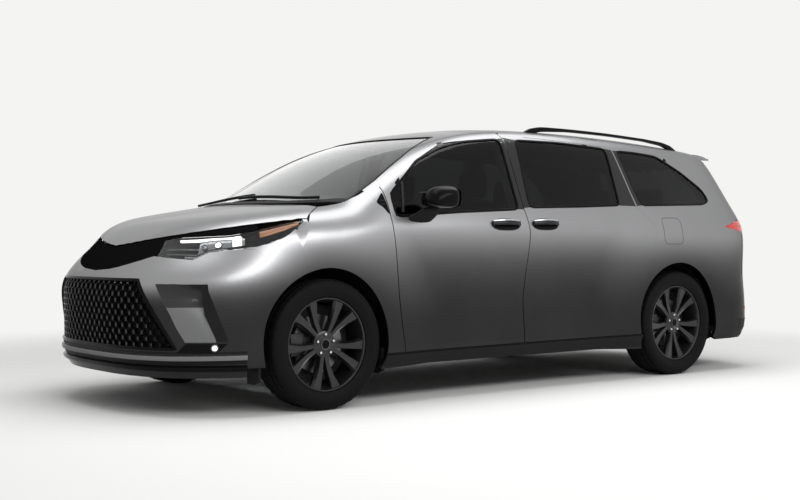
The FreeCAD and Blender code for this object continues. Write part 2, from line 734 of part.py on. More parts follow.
def fender_region(grow):
    """Prism of the front fender: ahead of the door, below the pillar foot."""
    front, _ = door_outline(MOVING_GAP - SEAT_GAP)
    points = front[:len(DOOR_FRONT_SHARES)][::-1] + [(front[0][0], 0)]
    top = side_runs(FENDER_SHARES)
    sail = side_runs(SAIL_SHARES)
    outline = points + [(top[-2][0], 0)] + top[2:3] + top[1:2] + top[0:1] + [sail[1]] + [sail[0]]
    return prism_y(grown(outline, grow), 0, OUTER_Y)


def front_fender():
    skin = fender_skin(0, FENDER_WALL)
    fender = skin.common(fender_region(0))
    fender = fender.cut(arch_cutter(FRONT_AXLE_X, ARCH_RADIUS))
    seam = side_runs(BUMPER_SEAM_SHARES)
    fender = fender.cut(prism_y(seam + [(NOSE_X, 0), (FRONT_AXLE_X + ARCH_RADIUS / 2, 0)], 0, OUTER_Y))
    pocket = ring_slab(
        FRONT_TURN_X, 1, between(LAMP_START_ANGLE, LAMP_END_ANGLE + FIT_ANGLE, lamp_low, level(POCKET_TOP)),
        -SIDE_WALL, SIDE_WALL * 2, 13, 2)
    fender = fender.cut(pocket)
    over = top_prism(hood_outline(), MOVING_GAP)
    shelf = box((0, NOSE_X + OVERRUN), (0, OUTER_Y), (FENDER_SHELF_Z, ROOF_HEIGHT))
    nose = box((FRONT_TURN_X, NOSE_X + OVERRUN), (0, OUTER_Y), (0, ROOF_HEIGHT)).cut(under_seam(MOVING_GAP))
    fender = fender.cut([over.common(shelf), over.common(nose)])
    return fender.cut(box((FENDER_REAR_X, NOSE_X), (0, COWL_SIDE_Y), (0, ROOF_HEIGHT)))


FENDER_SHELF_Z = 1062.0
FENDER_FRONT_X = 2140.0
FENDER_REAR_X = 1000.0
FENDER_COLUMNS = 10
FENDER_ROWS = 8
POCKET_TOP = 1100.0


def front_door():
    door = left_skin(0, DOOR_WALL).common(door_prism(0, DOOR_TOP_Y))
    door = door.cut(top_prism(windshield_outline(), MOVING_GAP))
    return largest(door.cut(prism_y(side_runs(FRONT_GLASS_SHARES), INNER_Y, OUTER_Y)))


def glass_pane(outline):
    pane = left_skin(GLASS_DEPTH, GLASS_WALL)
    return pane.common(prism_y(grown(side_runs(outline), -SEAT_GAP), INNER_Y, OUTER_Y))


def sliding_door():
    door = left_skin(0, DOOR_WALL).common(slider_prism(-SEAT_GAP, DOOR_TOP_Y))
    door = door.cut(prism_y(side_runs(SLIDER_GLASS_SHARES), INNER_Y, OUTER_Y))
    return largest(door.cut(arch_cutter(REAR_AXLE_X, ARCH_RADIUS)))


# Upper panels
HINGE_Y = 180.0
HINGE_RISE = 10.0
HINGE_RADIUS = 6.0
HINGE_PIN_RADIUS = 3.5
HINGE_HALF_WIDTH = 15.0
HINGE_CHEEK = 15.0
HINGE_FOOT = 40.0
HINGE_ROOT = 14.0


def hinge_point(side, offset):
    """Point on the tailgate's hinge line, an offset away from the middle of one hinge."""
    height = top_height(ROOF_END_X, HINGE_Y) + HINGE_RISE
    return FreeCAD.Vector(ROOF_END_X - MOVING_GAP / 2, side * HINGE_Y + offset, height)


def hinge_leaf(side, low, high, heading):
    """One leaf of a hinge: a barrel on the hinge line and a foot that runs into its panel."""
    start, end = hinge_point(side, low), hinge_point(side, high)
    x = sorted((start.x + heading * MOVING_GAP, start.x + heading * HINGE_FOOT))
    foot = box(x, (start.y, end.y), (start.z - HINGE_ROOT - HINGE_RISE, start.z))
    x = sorted((start.x, start.x + heading * (MOVING_GAP + PROBE)))
    neck = box(x, (start.y, end.y), (start.z - HINGE_RISE / 2, start.z))
    return pole(HINGE_RADIUS, start, end).fuse([foot, neck])


def roof_panel():
    skin = skin_slab(roof_rays(ROOF_FRONT_X, ROOF_REAR_X, 1, 12, 7), 0, ROOF_WALL)
    pieces = [skin.common(top_prism(roof_outline(), 0))]
    inner = HINGE_HALF_WIDTH + SEAT_GAP
    outer = inner + HINGE_CHEEK
    for side in (-1, 1):
        pieces.append(hinge_leaf(side, inner, outer, 1))
        pieces.append(hinge_leaf(side, -outer, -inner, 1))
        pieces.append(pole(HINGE_PIN_RADIUS, hinge_point(side, -outer + PROBE), hinge_point(side, outer - PROBE)))
    return fused(pieces)


GLASS_FRONT_X = 1640.0
GLASS_REAR_X = 440.0
GLASS_HALF_WIDTH = 830.0


def windshield():
    rays = []
    for x in steps(GLASS_FRONT_X, GLASS_REAR_X, 11):
        rays.append([(FreeCAD.Vector(x, y, SPINE_HEIGHT), FreeCAD.Vector(0, 0, 1))
                     for y in steps(-GLASS_HALF_WIDTH, GLASS_HALF_WIDTH, 9)])
    skin = skin_slab(rays, GLASS_DEPTH, GLASS_WALL)
    return skin.common(top_prism(windshield_outline(), -SEAT_GAP))


HOOD_SPINE_HEIGHT = 500.0
HOOD_SPINE_REAR_X = 1520.0
HOOD_SPINE_LENGTH = 480.0
HOOD_FAN_SHARE = 1.05
HOOD_SPREAD_SHARE = 1.75


def hood_rays(columns, rows):
    """Rays that fan out forwards and sideways from a line under the hood."""
    rays = []
    for share in steps(0, 1, columns):
        origin = FreeCAD.Vector(HOOD_SPINE_REAR_X + HOOD_SPINE_LENGTH * share, 0, HOOD_SPINE_HEIGHT)
        rays.append([(origin, FreeCAD.Vector(HOOD_FAN_SHARE * share, across * HOOD_SPREAD_SHARE, 1)) for across in steps(-1, 1, rows)])
    return rays


def hood():
    skin = skin_slab(hood_rays(9, 13), 0, HOOD_WALL)
    skin = skin.common(top_prism(hood_outline(), 0))
    return skin.cut(under_seam(0))


# Front end
def grille_bounds(shrink):
    top, bottom = GRILLE_SHARES

    def bounds(u, v):
        angle = bottom[0] + (top[0] - bottom[0]) * v - shrink
        height = ROOF_HEIGHT * (bottom[1] + (top[1] - bottom[1]) * v)
        if shrink > 0:
            height += SEAT_GAP * (1 - 2 * v)
        return -angle + 2 * angle * u, height
    return bounds


def fog_bounds(side, shrink):
    bottom, top = FOG_POCKET_SHARES

    def bounds(u, v):
        start = bottom[0] + (top[0] - bottom[0]) * v + shrink
        end = bottom[1] + (top[1] - bottom[1]) * v - shrink
        height = ROOF_HEIGHT * (bottom[2] + (top[2] - bottom[2]) * v)
        if shrink > 0:
            height += SEAT_GAP * (1 - 2 * v)
        return side * (start + (end - start) * u), height
    return bounds


def bumper_top(angle):
    angle = abs(angle)
    if angle < LAMP_START_ANGLE:
        return panel_low(angle) - SEAT_GAP
    return lamp_low(angle) - SEAT_GAP


def front_bumper():
    bounds = between(-80.0, 80.0, level(BUMPER_LOW_HEIGHT), bumper_top)
    cover = ring_slab(FRONT_TURN_X, 1, bounds, 0, BUMPER_WALL, 33, 5)
    cover = cover.cut(ring_slab(FRONT_TURN_X, 1, grille_bounds(0), -SIDE_WALL, SIDE_WALL * 2, 13, 3))
    for side in (-1, 1):
        cover = cover.cut(ring_slab(FRONT_TURN_X, 1, fog_bounds(side, 0), -SIDE_WALL, SIDE_WALL * 2, 5, 3))
        arch = arch_cutter(FRONT_AXLE_X, ARCH_RADIUS)
        seam = side_runs(BUMPER_SEAM_SHARES)
        above = grown(seam + [(seam[-1][0], ROOF_HEIGHT), (FRONT_AXLE_X, ROOF_HEIGHT), (FRONT_AXLE_X, seam[0][1])], SEAT_GAP)
        fender = prism_y(above, INNER_Y, OUTER_Y)
        if side < 0:
            arch, fender = mirrored(arch), mirrored(fender)
        cover = cover.cut(arch).cut(fender)
    return largest(cover)


def lower_grille():
    """Recessed panel that carries the grille's mesh."""
    return ring_slab(FRONT_TURN_X, 1, grille_bounds(FIT_ANGLE), GRILLE_DEPTH, GRILLE_WALL, 13, 3)


def upper_grille_panel():
    def low(angle):
        return panel_low(abs(angle)) if abs(angle) < LAMP_START_ANGLE else lamp_top(abs(angle)) + SEAT_GAP

    def high(angle):
        return hood_seam(abs(angle)) - MOVING_GAP
    return ring_slab(FRONT_TURN_X, 1, between(-PANEL_END_ANGLE, PANEL_END_ANGLE, low, high), PANEL_DEPTH, PANEL_WALL, 31, 2)


def headlamps():
    lamps = []
    for side in (-1, 1):
        def bounds(u, v, side=side):
            angle = LAMP_START_ANGLE + FIT_ANGLE + (LAMP_END_ANGLE - FIT_ANGLE - LAMP_START_ANGLE) * u
            return side * angle, lamp_low(angle) + (lamp_top(angle) - lamp_low(angle)) * v
        lamps.append(ring_slab(FRONT_TURN_X, 1, bounds, 0, LAMP_DEPTH, 15, 3))
    return lamps


def front_splitter(bumper):
    bounds = between(-SPLITTER_END_ANGLE, SPLITTER_END_ANGLE, level(SPLITTER_LOW_HEIGHT), level(BUMPER_LOW_HEIGHT - SEAT_GAP))
    blade = ring_slab(FRONT_TURN_X, 1, bounds, -SPLITTER_PROUD, SPLITTER_WALL, 25, 2)
    for side in (-1, 1):
        arch = arch_cutter(FRONT_AXLE_X, ARCH_RADIUS)
        blade = blade.cut(arch if side > 0 else mirrored(arch))
    return largest(blade.cut(bumper))


def fog_lamps(bumper):
    lamps = []
    for side in (-1, 1):
        pocket = ring_slab(FRONT_TURN_X, 1, fog_bounds(side, FIT_ANGLE), FOG_DEPTH, FOG_WALL, 5, 3)
        lamps.append(largest(pocket.cut(bumper)))
    return lamps


# Rear end
PLATE_HOLE_RADIUS = 3.5
PLATE_HOLE_SPACING = 178.0
PLATE_HOLE_HEIGHT = 900.0


def tailgate_rays(columns, rows):
    rays = []
    for turn in steps(-62.0, 62.0, columns):
        row = []
        for angle in steps(-20.0, 64.0, rows):
            flat = math.cos(math.radians(angle))
            row.append((
                FreeCAD.Vector(TAIL_SPINE_X, 0, SPINE_HEIGHT),
                FreeCAD.Vector(-math.cos(math.radians(turn)) * flat, math.sin(math.radians(turn)) * flat,
                               math.sin(math.radians(angle)))))
        rays.append(row)
    return rays


SPOILER_FRONT_X = -2150.0
SPOILER_REAR_X = -2325.0
SPOILER_HALF_WIDTH = 585.0
SPOILER_RISE = 3.0
SPOILER_WALL = 26.0
SPOILER_EDGE = 12.0


def spoiler():
    """Blade that carries the roof line on over the rear glass."""
    upper, lower = [], []
    for x, wall in ((SPOILER_FRONT_X, SPOILER_WALL), ((SPOILER_FRONT_X + SPOILER_REAR_X) / 2, SPOILER_WALL),
                    (SPOILER_REAR_X, SPOILER_EDGE)):
        row = []
        for y in steps(-SPOILER_HALF_WIDTH, SPOILER_HALF_WIDTH, 7):
            row.append(FreeCAD.Vector(x, y, roof_line(x) - ROOF_CROWN * (y / ROOF_CROWN_WIDTH) ** 2 + SPOILER_RISE))
        upper.append(row)
        lower.append([point - FreeCAD.Vector(0, 0, wall) for point in row])
    return slab(upper, lower)


def tailgate():
    skin = skin_slab(tailgate_rays(11, 12), 0, TAILGATE_WALL)
    gate = skin.common(tailgate_prism(0)).fuse(spoiler())
    for y in (-PLATE_HOLE_SPACING / 2, PLATE_HOLE_SPACING / 2):
        gate = gate.cut(rod(PLATE_HOLE_RADIUS, (TAIL_X - OVERRUN, y, PLATE_HOLE_HEIGHT), (TAIL_SPINE_X, y, PLATE_HOLE_HEIGHT)))
    gate = gate.cut(prism_x(rear_glass_outline(), TAIL_X - OVERRUN, TAIL_SPINE_X))
    for side in (-1, 1):
        gate = gate.fuse(hinge_leaf(side, -HINGE_HALF_WIDTH, HINGE_HALF_WIDTH, -1))
        start, end = hinge_point(side, -HINGE_HALF_WIDTH * 2), hinge_point(side, HINGE_HALF_WIDTH * 2)
        gate = gate.cut(pole(HINGE_PIN_RADIUS + SEAT_GAP, start, end))
    return largest(gate)


def rear_glass():
    skin = skin_slab(tailgate_rays(9, 12), GLASS_DEPTH, GLASS_WALL)
    return skin.common(prism_x(grown(rear_glass_outline(), -SEAT_GAP), TAIL_X - OVERRUN, TAIL_SPINE_X))


def tail_lamp():
    lamp = left_skin(0, LAMP_WALL).common(prism_y(side_runs(TAIL_LAMP_SHARES), 0, OUTER_Y))
    return lamp.cut(tailgate_prism(MOVING_GAP))


def rear_bumper():
    low, high = 232.0, REAR_BUMPER_TOP_SHARE * ROOF_HEIGHT - SEAT_GAP
    cover = ring_slab(TAIL_SPINE_X, -1, between(-78.0, 78.0, level(low), level(high)), 0, BUMPER_WALL, 21, 5)
    for side in (-1, 1):
        arch = arch_cutter(REAR_AXLE_X, ARCH_RADIUS)
        cover = cover.cut(arch if side > 0 else mirrored(arch))
    return cover


# Wheels, seen along their axle: radii, and offsets outwards from the wheel's middle
WHEEL_SIDES = 32
WHEEL_HALF_WIDTH = TYRE_WIDTH / 2
BEAD_SHARE = 0.80
SHOULDER_SHARE = 0.93
SIDEWALL_RADIUS = 318.0
SHOULDER_RADIUS = 356.0
BARREL_WALL = 13.0
SPOKE_BACK = 30.0
SPOKE_FRONT = 72.0
SPOKE_RISE = 14.0
SPOKE_COUNT = 5
HUB_RADIUS = 72.0
SPINDLE_RADIUS = 32.0
FIT_GAP = 0.4
DISC_RADIUS = 168.0
DISC_BACK = -22.0
DISC_FRONT = -4.0
WINDOW_OUTER_RADIUS = 244.0
WIDE_WINDOW_INNER_RADIUS = 96.0
WIDE_WINDOW_ANGLES = (17.0, 20.5)
SLIM_WINDOW_INNER_RADIUS = 132.0
SLIM_WINDOW_ANGLES = (1.6, 6.5)


def tyre():
    half = WHEEL_HALF_WIDTH
    left = [(RIM_RADIUS, BEAD_SHARE * half), (SIDEWALL_RADIUS, half), (SHOULDER_RADIUS, SHOULDER_SHARE * half),
            (TYRE_RADIUS, BEAD_SHARE * half)]
    return turned(left + [(r, -y) for r, y in reversed(left)], WHEEL_SIDES)


def spoke_window(middle, inner, angles):
    """Prism of one opening between spokes."""
    corners = []
    for radius, angle in ((inner, -angles[0]), (WINDOW_OUTER_RADIUS, -angles[1]), (WINDOW_OUTER_RADIUS, 0),
                          (WINDOW_OUTER_RADIUS, angles[1]), (inner, angles[0])):
        turn = math.radians(middle + angle)
        corners.append(FreeCAD.Vector(radius * math.cos(turn), 0, radius * math.sin(turn)))
    return Part.Face(Part.makePolygon(corners + corners[:1])).extrude(FreeCAD.Vector(0, WHEEL_HALF_WIDTH, 0))


def rim():
    """Wheel rim with five twin spokes, its hub and its brake disc."""
    half = BEAD_SHARE * WHEEL_HALF_WIDTH
    outer = RIM_RADIUS - SEAT_GAP
    bore = SPINDLE_RADIUS + FIT_GAP
    barrel = turned([(outer, -half), (outer, half), (outer - BARREL_WALL, half), (outer - BARREL_WALL, -half)], WHEEL_SIDES)
    edge = outer - BARREL_WALL / 2
    face = turned([(bore, SPOKE_BACK), (HUB_RADIUS, SPOKE_BACK), (edge, SPOKE_BACK + SPOKE_RISE * 2),
                   (edge, SPOKE_FRONT + SPOKE_RISE), (HUB_RADIUS, SPOKE_FRONT), (0, SPOKE_FRONT),
                   (0, SPOKE_FRONT - SPOKE_RISE), (bore, SPOKE_FRONT - SPOKE_RISE)], WHEEL_SIDES)
    for i in range(SPOKE_COUNT):
        turn = 90 + 360 / SPOKE_COUNT * i
        face = face.cut(spoke_window(turn, SLIM_WINDOW_INNER_RADIUS, SLIM_WINDOW_ANGLES))
        face = face.cut(spoke_window(turn + 180 / SPOKE_COUNT, WIDE_WINDOW_INNER_RADIUS, WIDE_WINDOW_ANGLES))
    hat = turned([(bore, DISC_BACK), (DISC_RADIUS, DISC_BACK), (DISC_RADIUS, DISC_FRONT), (HUB_RADIUS, DISC_FRONT),
                  (HUB_RADIUS, SPOKE_BACK), (bore, SPOKE_BACK)], WHEEL_SIDES)
    return barrel.fuse([face, hat])


def wheel_place(shape, axle_x, side):
    """A left-hand wheel part put on its axle, mirrored for the right side."""
    shape = shape.copy()
    shape.translate(FreeCAD.Vector(axle_x, WHEEL_Y, AXLE_HEIGHT))
    return shape if side > 0 else mirrored(shape)


# Uprights: the front ones turn about a steering axis that leans inboard
STEER_LOW = FreeCAD.Vector(FRONT_AXLE_X, 801.0, 243.0)
STEER_HIGH = FreeCAD.Vector(FRONT_AXLE_X, 683.0, 708.0)
UPRIGHT_RADIUS = 26.0
UPRIGHT_TOP_SHARE = 0.52
CARRIER_RADIUS = 58.0
CARRIER_BACK_Y = 720.0
STRUT_RADIUS = 24.0
CALIPER_RADIUS = 196.0
CALIPER_INNER_RADIUS = 118.0
CALIPER_HALF_HEIGHT = 62.0
CALIPER_BACK = -48.0
CALIPER_FRONT = 20.0
CALIPER_SIDES = 24


def steer_point(share):
    return STEER_LOW + (STEER_HIGH - STEER_LOW) * share


def caliper(axle_x):
    """Brake caliper astride the disc, ahead of the axle."""
    y = (WHEEL_Y + CALIPER_BACK, WHEEL_Y + CALIPER_FRONT)
    z = (AXLE_HEIGHT - CALIPER_HALF_HEIGHT, AXLE_HEIGHT + CALIPER_HALF_HEIGHT)
    block = box((axle_x + CALIPER_INNER_RADIUS, axle_x + CALIPER_RADIUS), y, z)
    start = (axle_x, WHEEL_Y + DISC_BACK - MOVING_GAP, AXLE_HEIGHT)
    end = (axle_x, WHEEL_Y + DISC_FRONT + MOVING_GAP, AXLE_HEIGHT)
    return block.cut(pole(DISC_RADIUS + MOVING_GAP * 2, start, end, CALIPER_SIDES))


def hub_carrier(axle_x):
    """Bearing carrier and spindle of one wheel, with the brake caliper."""
    middle = WHEEL_Y + DISC_BACK - MOVING_GAP
    tip = WHEEL_Y + SPOKE_FRONT - SPOKE_RISE - SEAT_GAP
    carrier = pole(CARRIER_RADIUS, (axle_x, CARRIER_BACK_Y, AXLE_HEIGHT), (axle_x, middle, AXLE_HEIGHT))
    spindle = pole(SPINDLE_RADIUS, (axle_x, CARRIER_BACK_Y + PROBE, AXLE_HEIGHT), (axle_x, tip, AXLE_HEIGHT), CALIPER_SIDES)
    arm = box((axle_x, axle_x + CALIPER_RADIUS), (WHEEL_Y + CALIPER_BACK, middle),
              (AXLE_HEIGHT - CALIPER_HALF_HEIGHT / 2, AXLE_HEIGHT + CALIPER_HALF_HEIGHT / 2))
    return carrier.fuse([spindle, arm, caliper(axle_x)])


def knuckle():
    return hub_carrier(FRONT_AXLE_X).fuse(pole(UPRIGHT_RADIUS, steer_point(0), steer_point(UPRIGHT_TOP_SHARE)))


# Wheel wells and the engine bay
FRONT_WELL_Y = 515.0
REAR_WELL_Y = 560.0
FRONT_LINER_OUTER_Y = 900.0
REAR_LINER_OUTER_Y = 872.0
LINER_LOW = 292.0
WELL_SIDES = 36
RAIL_INNER_Y = 430.0
RAIL_LOW = 520.0
RAIL_HIGH = 640.0
RAIL_FRONT_X = 2220.0
POST_REAR_X = 1420.0
POST_FRONT_X = 1480.0
POST_TOP = 1230.0
SUPPORT_REAR_X = 2160.0
SUPPORT_HALF_WIDTH = 470.0
SUPPORT_LOW = 330.0
SUPPORT_HIGH = 830.0
COWL_SHELF_WALL = 16.0
COWL_LAP = 60.0
COWL_SHELF_REAR_X = 1345.0
COWL_SHELF_FRONT_X = 1790.0
COWL_SHELF_HALF_WIDTH = 740.0
JACK_X = (900.0, -940.0)
JACK_Y = 800.0
JACK_HALF = 40.0
JACK_LOW = 268.0
FLOOR_LOW = 290.0
FLOOR_HIGH = 325.0
FLOOR_FRONT_X = 1150.0
FLOOR_REAR_X = -2330.0
FIREWALL_X = 1120.0
FIREWALL_WALL = 26.0
FIREWALL_TOP = 1090.0
FIREWALL_HALF_WIDTH = 850.0
TUNNEL_HALF_WIDTH = 110.0
TUNNEL_RISE = 60.0
TUNNEL_REAR_X = -600.0


def liner(axle_x, inner_y, outer_y):
    """Wheel arch lining of the left side: a half round shell with its inner wall."""
    reach = LINER_RADIUS + LINER_WALL
    outer = pole(reach, (axle_x, inner_y, ARCH_HEIGHT), (axle_x, outer_y, ARCH_HEIGHT), WELL_SIDES)
    inner = pole(LINER_RADIUS, (axle_x, inner_y + LINER_WALL, ARCH_HEIGHT), (axle_x, OUTER_Y, ARCH_HEIGHT), WELL_SIDES)
    keep = box((axle_x - reach, axle_x + reach), (inner_y, outer_y), (LINER_LOW, ARCH_HEIGHT + reach))
    return outer.cut(inner).common(keep)


def front_liners():
    left = liner(FRONT_AXLE_X, FRONT_WELL_Y, FRONT_LINER_OUTER_Y)
    return [left, mirrored(left)]


def floor_pan():
    """Floor with its tunnel, the rear wheel wells and the firewall."""
    floor = box((FLOOR_REAR_X, FLOOR_FRONT_X), (-DOOR_HALF_WIDTH, DOOR_HALF_WIDTH), (FLOOR_LOW, FLOOR_HIGH))
    well = liner(REAR_AXLE_X, REAR_WELL_Y, REAR_LINER_OUTER_Y)
    firewall = box((FIREWALL_X, FIREWALL_X + FIREWALL_WALL), (-FIREWALL_HALF_WIDTH, FIREWALL_HALF_WIDTH),
                   (FLOOR_HIGH - PROBE, FIREWALL_TOP))
    tunnel = box((TUNNEL_REAR_X, FIREWALL_X + PROBE), (-TUNNEL_HALF_WIDTH, TUNNEL_HALF_WIDTH),
                 (FLOOR_LOW, FLOOR_HIGH + TUNNEL_RISE))
    pan = floor.fuse([tunnel, firewall])
    reach = LINER_RADIUS + LINER_WALL / 2
    side = left_skin(-SIDE_WALL, SIDE_WALL * 2 + SEAT_GAP)
    for hand in (1, -1):
        hole = box((REAR_AXLE_X - reach, REAR_AXLE_X + reach), (REAR_WELL_Y + LINER_WALL / 2, OUTER_Y), (0, FLOOR_HIGH + PROBE))
        front = pole(LINER_RADIUS + LINER_WALL + SEAT_GAP * 2, (FRONT_AXLE_X, FRONT_WELL_Y - SEAT_GAP, ARCH_HEIGHT),
                     (FRONT_AXLE_X, OUTER_Y, ARCH_HEIGHT), WELL_SIDES)
        pan = pan.cut([part if hand > 0 else mirrored(part) for part in (hole, front, side)])
        for x in JACK_X:
            pad = box((x - JACK_HALF, x + JACK_HALF), (JACK_Y - JACK_HALF, JACK_Y + JACK_HALF), (JACK_LOW, FLOOR_LOW + PROBE))
            pan = pan.fuse(pad if hand > 0 else mirrored(pad))
    return largest(pan.fuse([well, mirrored(well)]))


def cowl_shelf():
    """Shelf under the rear edge of the hood and the foot of the windshield."""
    rays = []
    for x in steps(COWL_SHELF_REAR_X, COWL_SHELF_FRONT_X, 5):
        rays.append([(FreeCAD.Vector(x, y, SPINE_HEIGHT), FreeCAD.Vector(0, 0, 1))
                     for y in steps(-COWL_SHELF_HALF_WIDTH, COWL_SHELF_HALF_WIDTH, 7)])
    return skin_slab(rays, HOOD_WALL + SEAT_GAP * 8, COWL_SHELF_WALL), skin_slab(rays, -SIDE_WALL, SIDE_WALL + HOOD_WALL + SEAT_GAP * 8)


def front_structure():
    """Cowl shelf, side rails and radiator support of the engine bay."""
    shelf, above = cowl_shelf()
    pieces = [shelf.cut(top_prism(windshield_outline(), -COWL_LAP))]
    rail_outer = FRONT_WELL_Y - SEAT_GAP
    for side in (-1, 1):
        y = sorted((side * RAIL_INNER_Y, side * rail_outer))
        pieces.append(box((FIREWALL_X + FIREWALL_WALL + SEAT_GAP, RAIL_FRONT_X), y, (RAIL_LOW, RAIL_HIGH)))
        pieces.append(box((POST_REAR_X, POST_FRONT_X), y, (RAIL_HIGH - PROBE, POST_TOP)).cut(above))
    pieces.append(box((SUPPORT_REAR_X, RAIL_FRONT_X), (-SUPPORT_HALF_WIDTH, SUPPORT_HALF_WIDTH), (SUPPORT_LOW, SUPPORT_HIGH)))
    whole = fused(pieces)
    return largest(whole)


# Chassis parts under the floor
SUBFRAME_Y = 380.0
SUBFRAME_RAIL = 60.0
SUBFRAME_LOW = 205.0
SUBFRAME_HIGH = 265.0
SUBFRAME_REAR_X = 1000.0
SUBFRAME_FRONT_X = 2140.0
SUBFRAME_FOOT = 100.0
CROSS_REAR_X = 1162.0
CROSS_FRONT_X = 2060.0
CROSS_WIDTH = 80.0
ARM_REACH = 150.0
ARM_HALF = 30.0
ARM_WALL = 30.0


def lower_arm(side):
    top = STEER_LOW.z - UPRIGHT_RADIUS / 2 - SEAT_GAP
    inner, outer = side * (SUBFRAME_Y - ARM_HALF), side * (STEER_LOW.y + ARM_HALF / 2)
    outline = [(FRONT_AXLE_X - ARM_REACH, inner), (FRONT_AXLE_X + ARM_REACH, inner),
               (FRONT_AXLE_X + ARM_HALF, outer), (FRONT_AXLE_X - ARM_HALF, outer)]
    return prism_z(outline, top - ARM_WALL, top)


def front_subframe():
    """Cradle under the engine with the lower arms of both front wheels."""
    pieces = []
    for side in (-1, 1):
        y = sorted((side * (SUBFRAME_Y - SUBFRAME_RAIL), side * SUBFRAME_Y))
        pieces.append(box((SUBFRAME_REAR_X, SUBFRAME_FRONT_X), y, (SUBFRAME_LOW, SUBFRAME_HIGH)))
        pieces.append(box((SUBFRAME_REAR_X, SUBFRAME_REAR_X + SUBFRAME_FOOT), y, (SUBFRAME_LOW, FLOOR_LOW - SEAT_GAP)))
        pieces.append(lower_arm(side))
    for x in (CROSS_REAR_X, CROSS_FRONT_X):
        pieces.append(box((x, x + CROSS_WIDTH), (-SUBFRAME_Y + PROBE, SUBFRAME_Y - PROBE), (SUBFRAME_LOW, SUBFRAME_HIGH)))
    return fused(pieces)


def front_strut():
    """Strut from the top of the left upright to the roof of its wheel well."""
    along = (STEER_HIGH - STEER_LOW).normalize()
    start = steer_point(UPRIGHT_TOP_SHARE) + along * SEAT_GAP
    ceiling = ARCH_HEIGHT + LINER_RADIUS * math.cos(math.pi / WELL_SIDES) - SEAT_GAP * 2
    length = (ceiling - start.z) / along.z + STRUT_RADIUS
    strut = pole(STRUT_RADIUS, start, start + along * length)
    return strut.cut(box((0, NOSE_X), (0, OUTER_Y), (ceiling, ROOF_HEIGHT)))


BEAM_REAR_X = -1389.0
BEAM_FRONT_X = -1309.0
BEAM_LOW = 236.0
BEAM_HIGH = 286.0
TRAIL_INNER_Y = 650.0
TRAIL_OUTER_Y = 725.0
TRAIL_REAR_X = -1539.0
TRAIL_LOW = 276.0
TRAIL_HIGH = 346.0


def rear_axle():
    """Twist beam between the rear hub carriers, with its trailing arms."""
    pieces = [box((BEAM_REAR_X, BEAM_FRONT_X), (-TRAIL_OUTER_Y, TRAIL_OUTER_Y), (BEAM_LOW, BEAM_HIGH))]
    carrier = hub_carrier(REAR_AXLE_X)
    pieces += [carrier, mirrored(carrier)]
    for side in (-1, 1):
        y = sorted((side * TRAIL_INNER_Y, side * TRAIL_OUTER_Y))
        reach = REAR_AXLE_X + LINER_RADIUS
        well = pole(LINER_RADIUS - SEAT_GAP, (REAR_AXLE_X, -OUTER_Y, ARCH_HEIGHT), (REAR_AXLE_X, OUTER_Y, ARCH_HEIGHT), WELL_SIDES)
        pieces.append(box((TRAIL_REAR_X, reach), y, (TRAIL_LOW, TRAIL_HIGH)).common(well))
    return fused(pieces)


ENGINE_REAR_X = 1392.0
ENGINE_FRONT_X = 1912.0
ENGINE_RIGHT_Y = -410.0
ENGINE_LEFT_Y = 380.0
ENGINE_TOP = 880.0
TANK_X = (-700.0, 150.0)
TANK_Y = (-620.0, -130.0)
TANK_DEPTH = 110.0
PIPE_RADIUS = 26.0
PIPE_Y = 60.0
PIPE_HEIGHT = 198.0
PIPE_FRONT_X = 900.0
PIPE_REAR_X = -1900.0
MUFFLER_X = (-2250.0, -1850.0)
MUFFLER_Y = (-260.0, 300.0)
MUFFLER_LOW = 180.0
HANGER_X = (300.0, 360.0)


def engine_block():
    return box((ENGINE_REAR_X, ENGINE_FRONT_X), (ENGINE_RIGHT_Y, ENGINE_LEFT_Y), (SUBFRAME_HIGH + SEAT_GAP, ENGINE_TOP))


def fuel_tank():
    return box(TANK_X, TANK_Y, (FLOOR_LOW - TANK_DEPTH, FLOOR_LOW - SEAT_GAP))


def exhaust():
    pipe = pole(PIPE_RADIUS, (PIPE_FRONT_X, PIPE_Y, PIPE_HEIGHT), (PIPE_REAR_X, PIPE_Y, PIPE_HEIGHT))
    muffler = box(MUFFLER_X, MUFFLER_Y, (MUFFLER_LOW, FLOOR_LOW - SEAT_GAP))
    hanger = box(HANGER_X, (PIPE_Y - PIPE_RADIUS / 2, PIPE_Y + PIPE_RADIUS / 2), (PIPE_HEIGHT, FLOOR_LOW - SEAT_GAP))
    return fused([pipe, muffler, hanger])


# Cabin
SEAT_WIDTH = 520.0
SEAT_LENGTH = 520.0
CUSHION_HEIGHT = 150.0
BENCH_WIDTH = 1080.0
HEADREST_HALF_WIDTH = 130.0
HEADREST_HEIGHT = 190.0
BACK_WALL = 110.0
BACK_LEAN = 150.0
SEAT_SOFT = 30.0
FRONT_SEAT_X = 700.0
SECOND_SEAT_X = -350.0
THIRD_SEAT_X = -1270.0
SEAT_Y = 390.0
SEAT_HEIGHT = 690.0
BACK_HEIGHT = 560.0
BENCH_BACK_HEIGHT = 500.0
PLINTH_INSET = 60.0


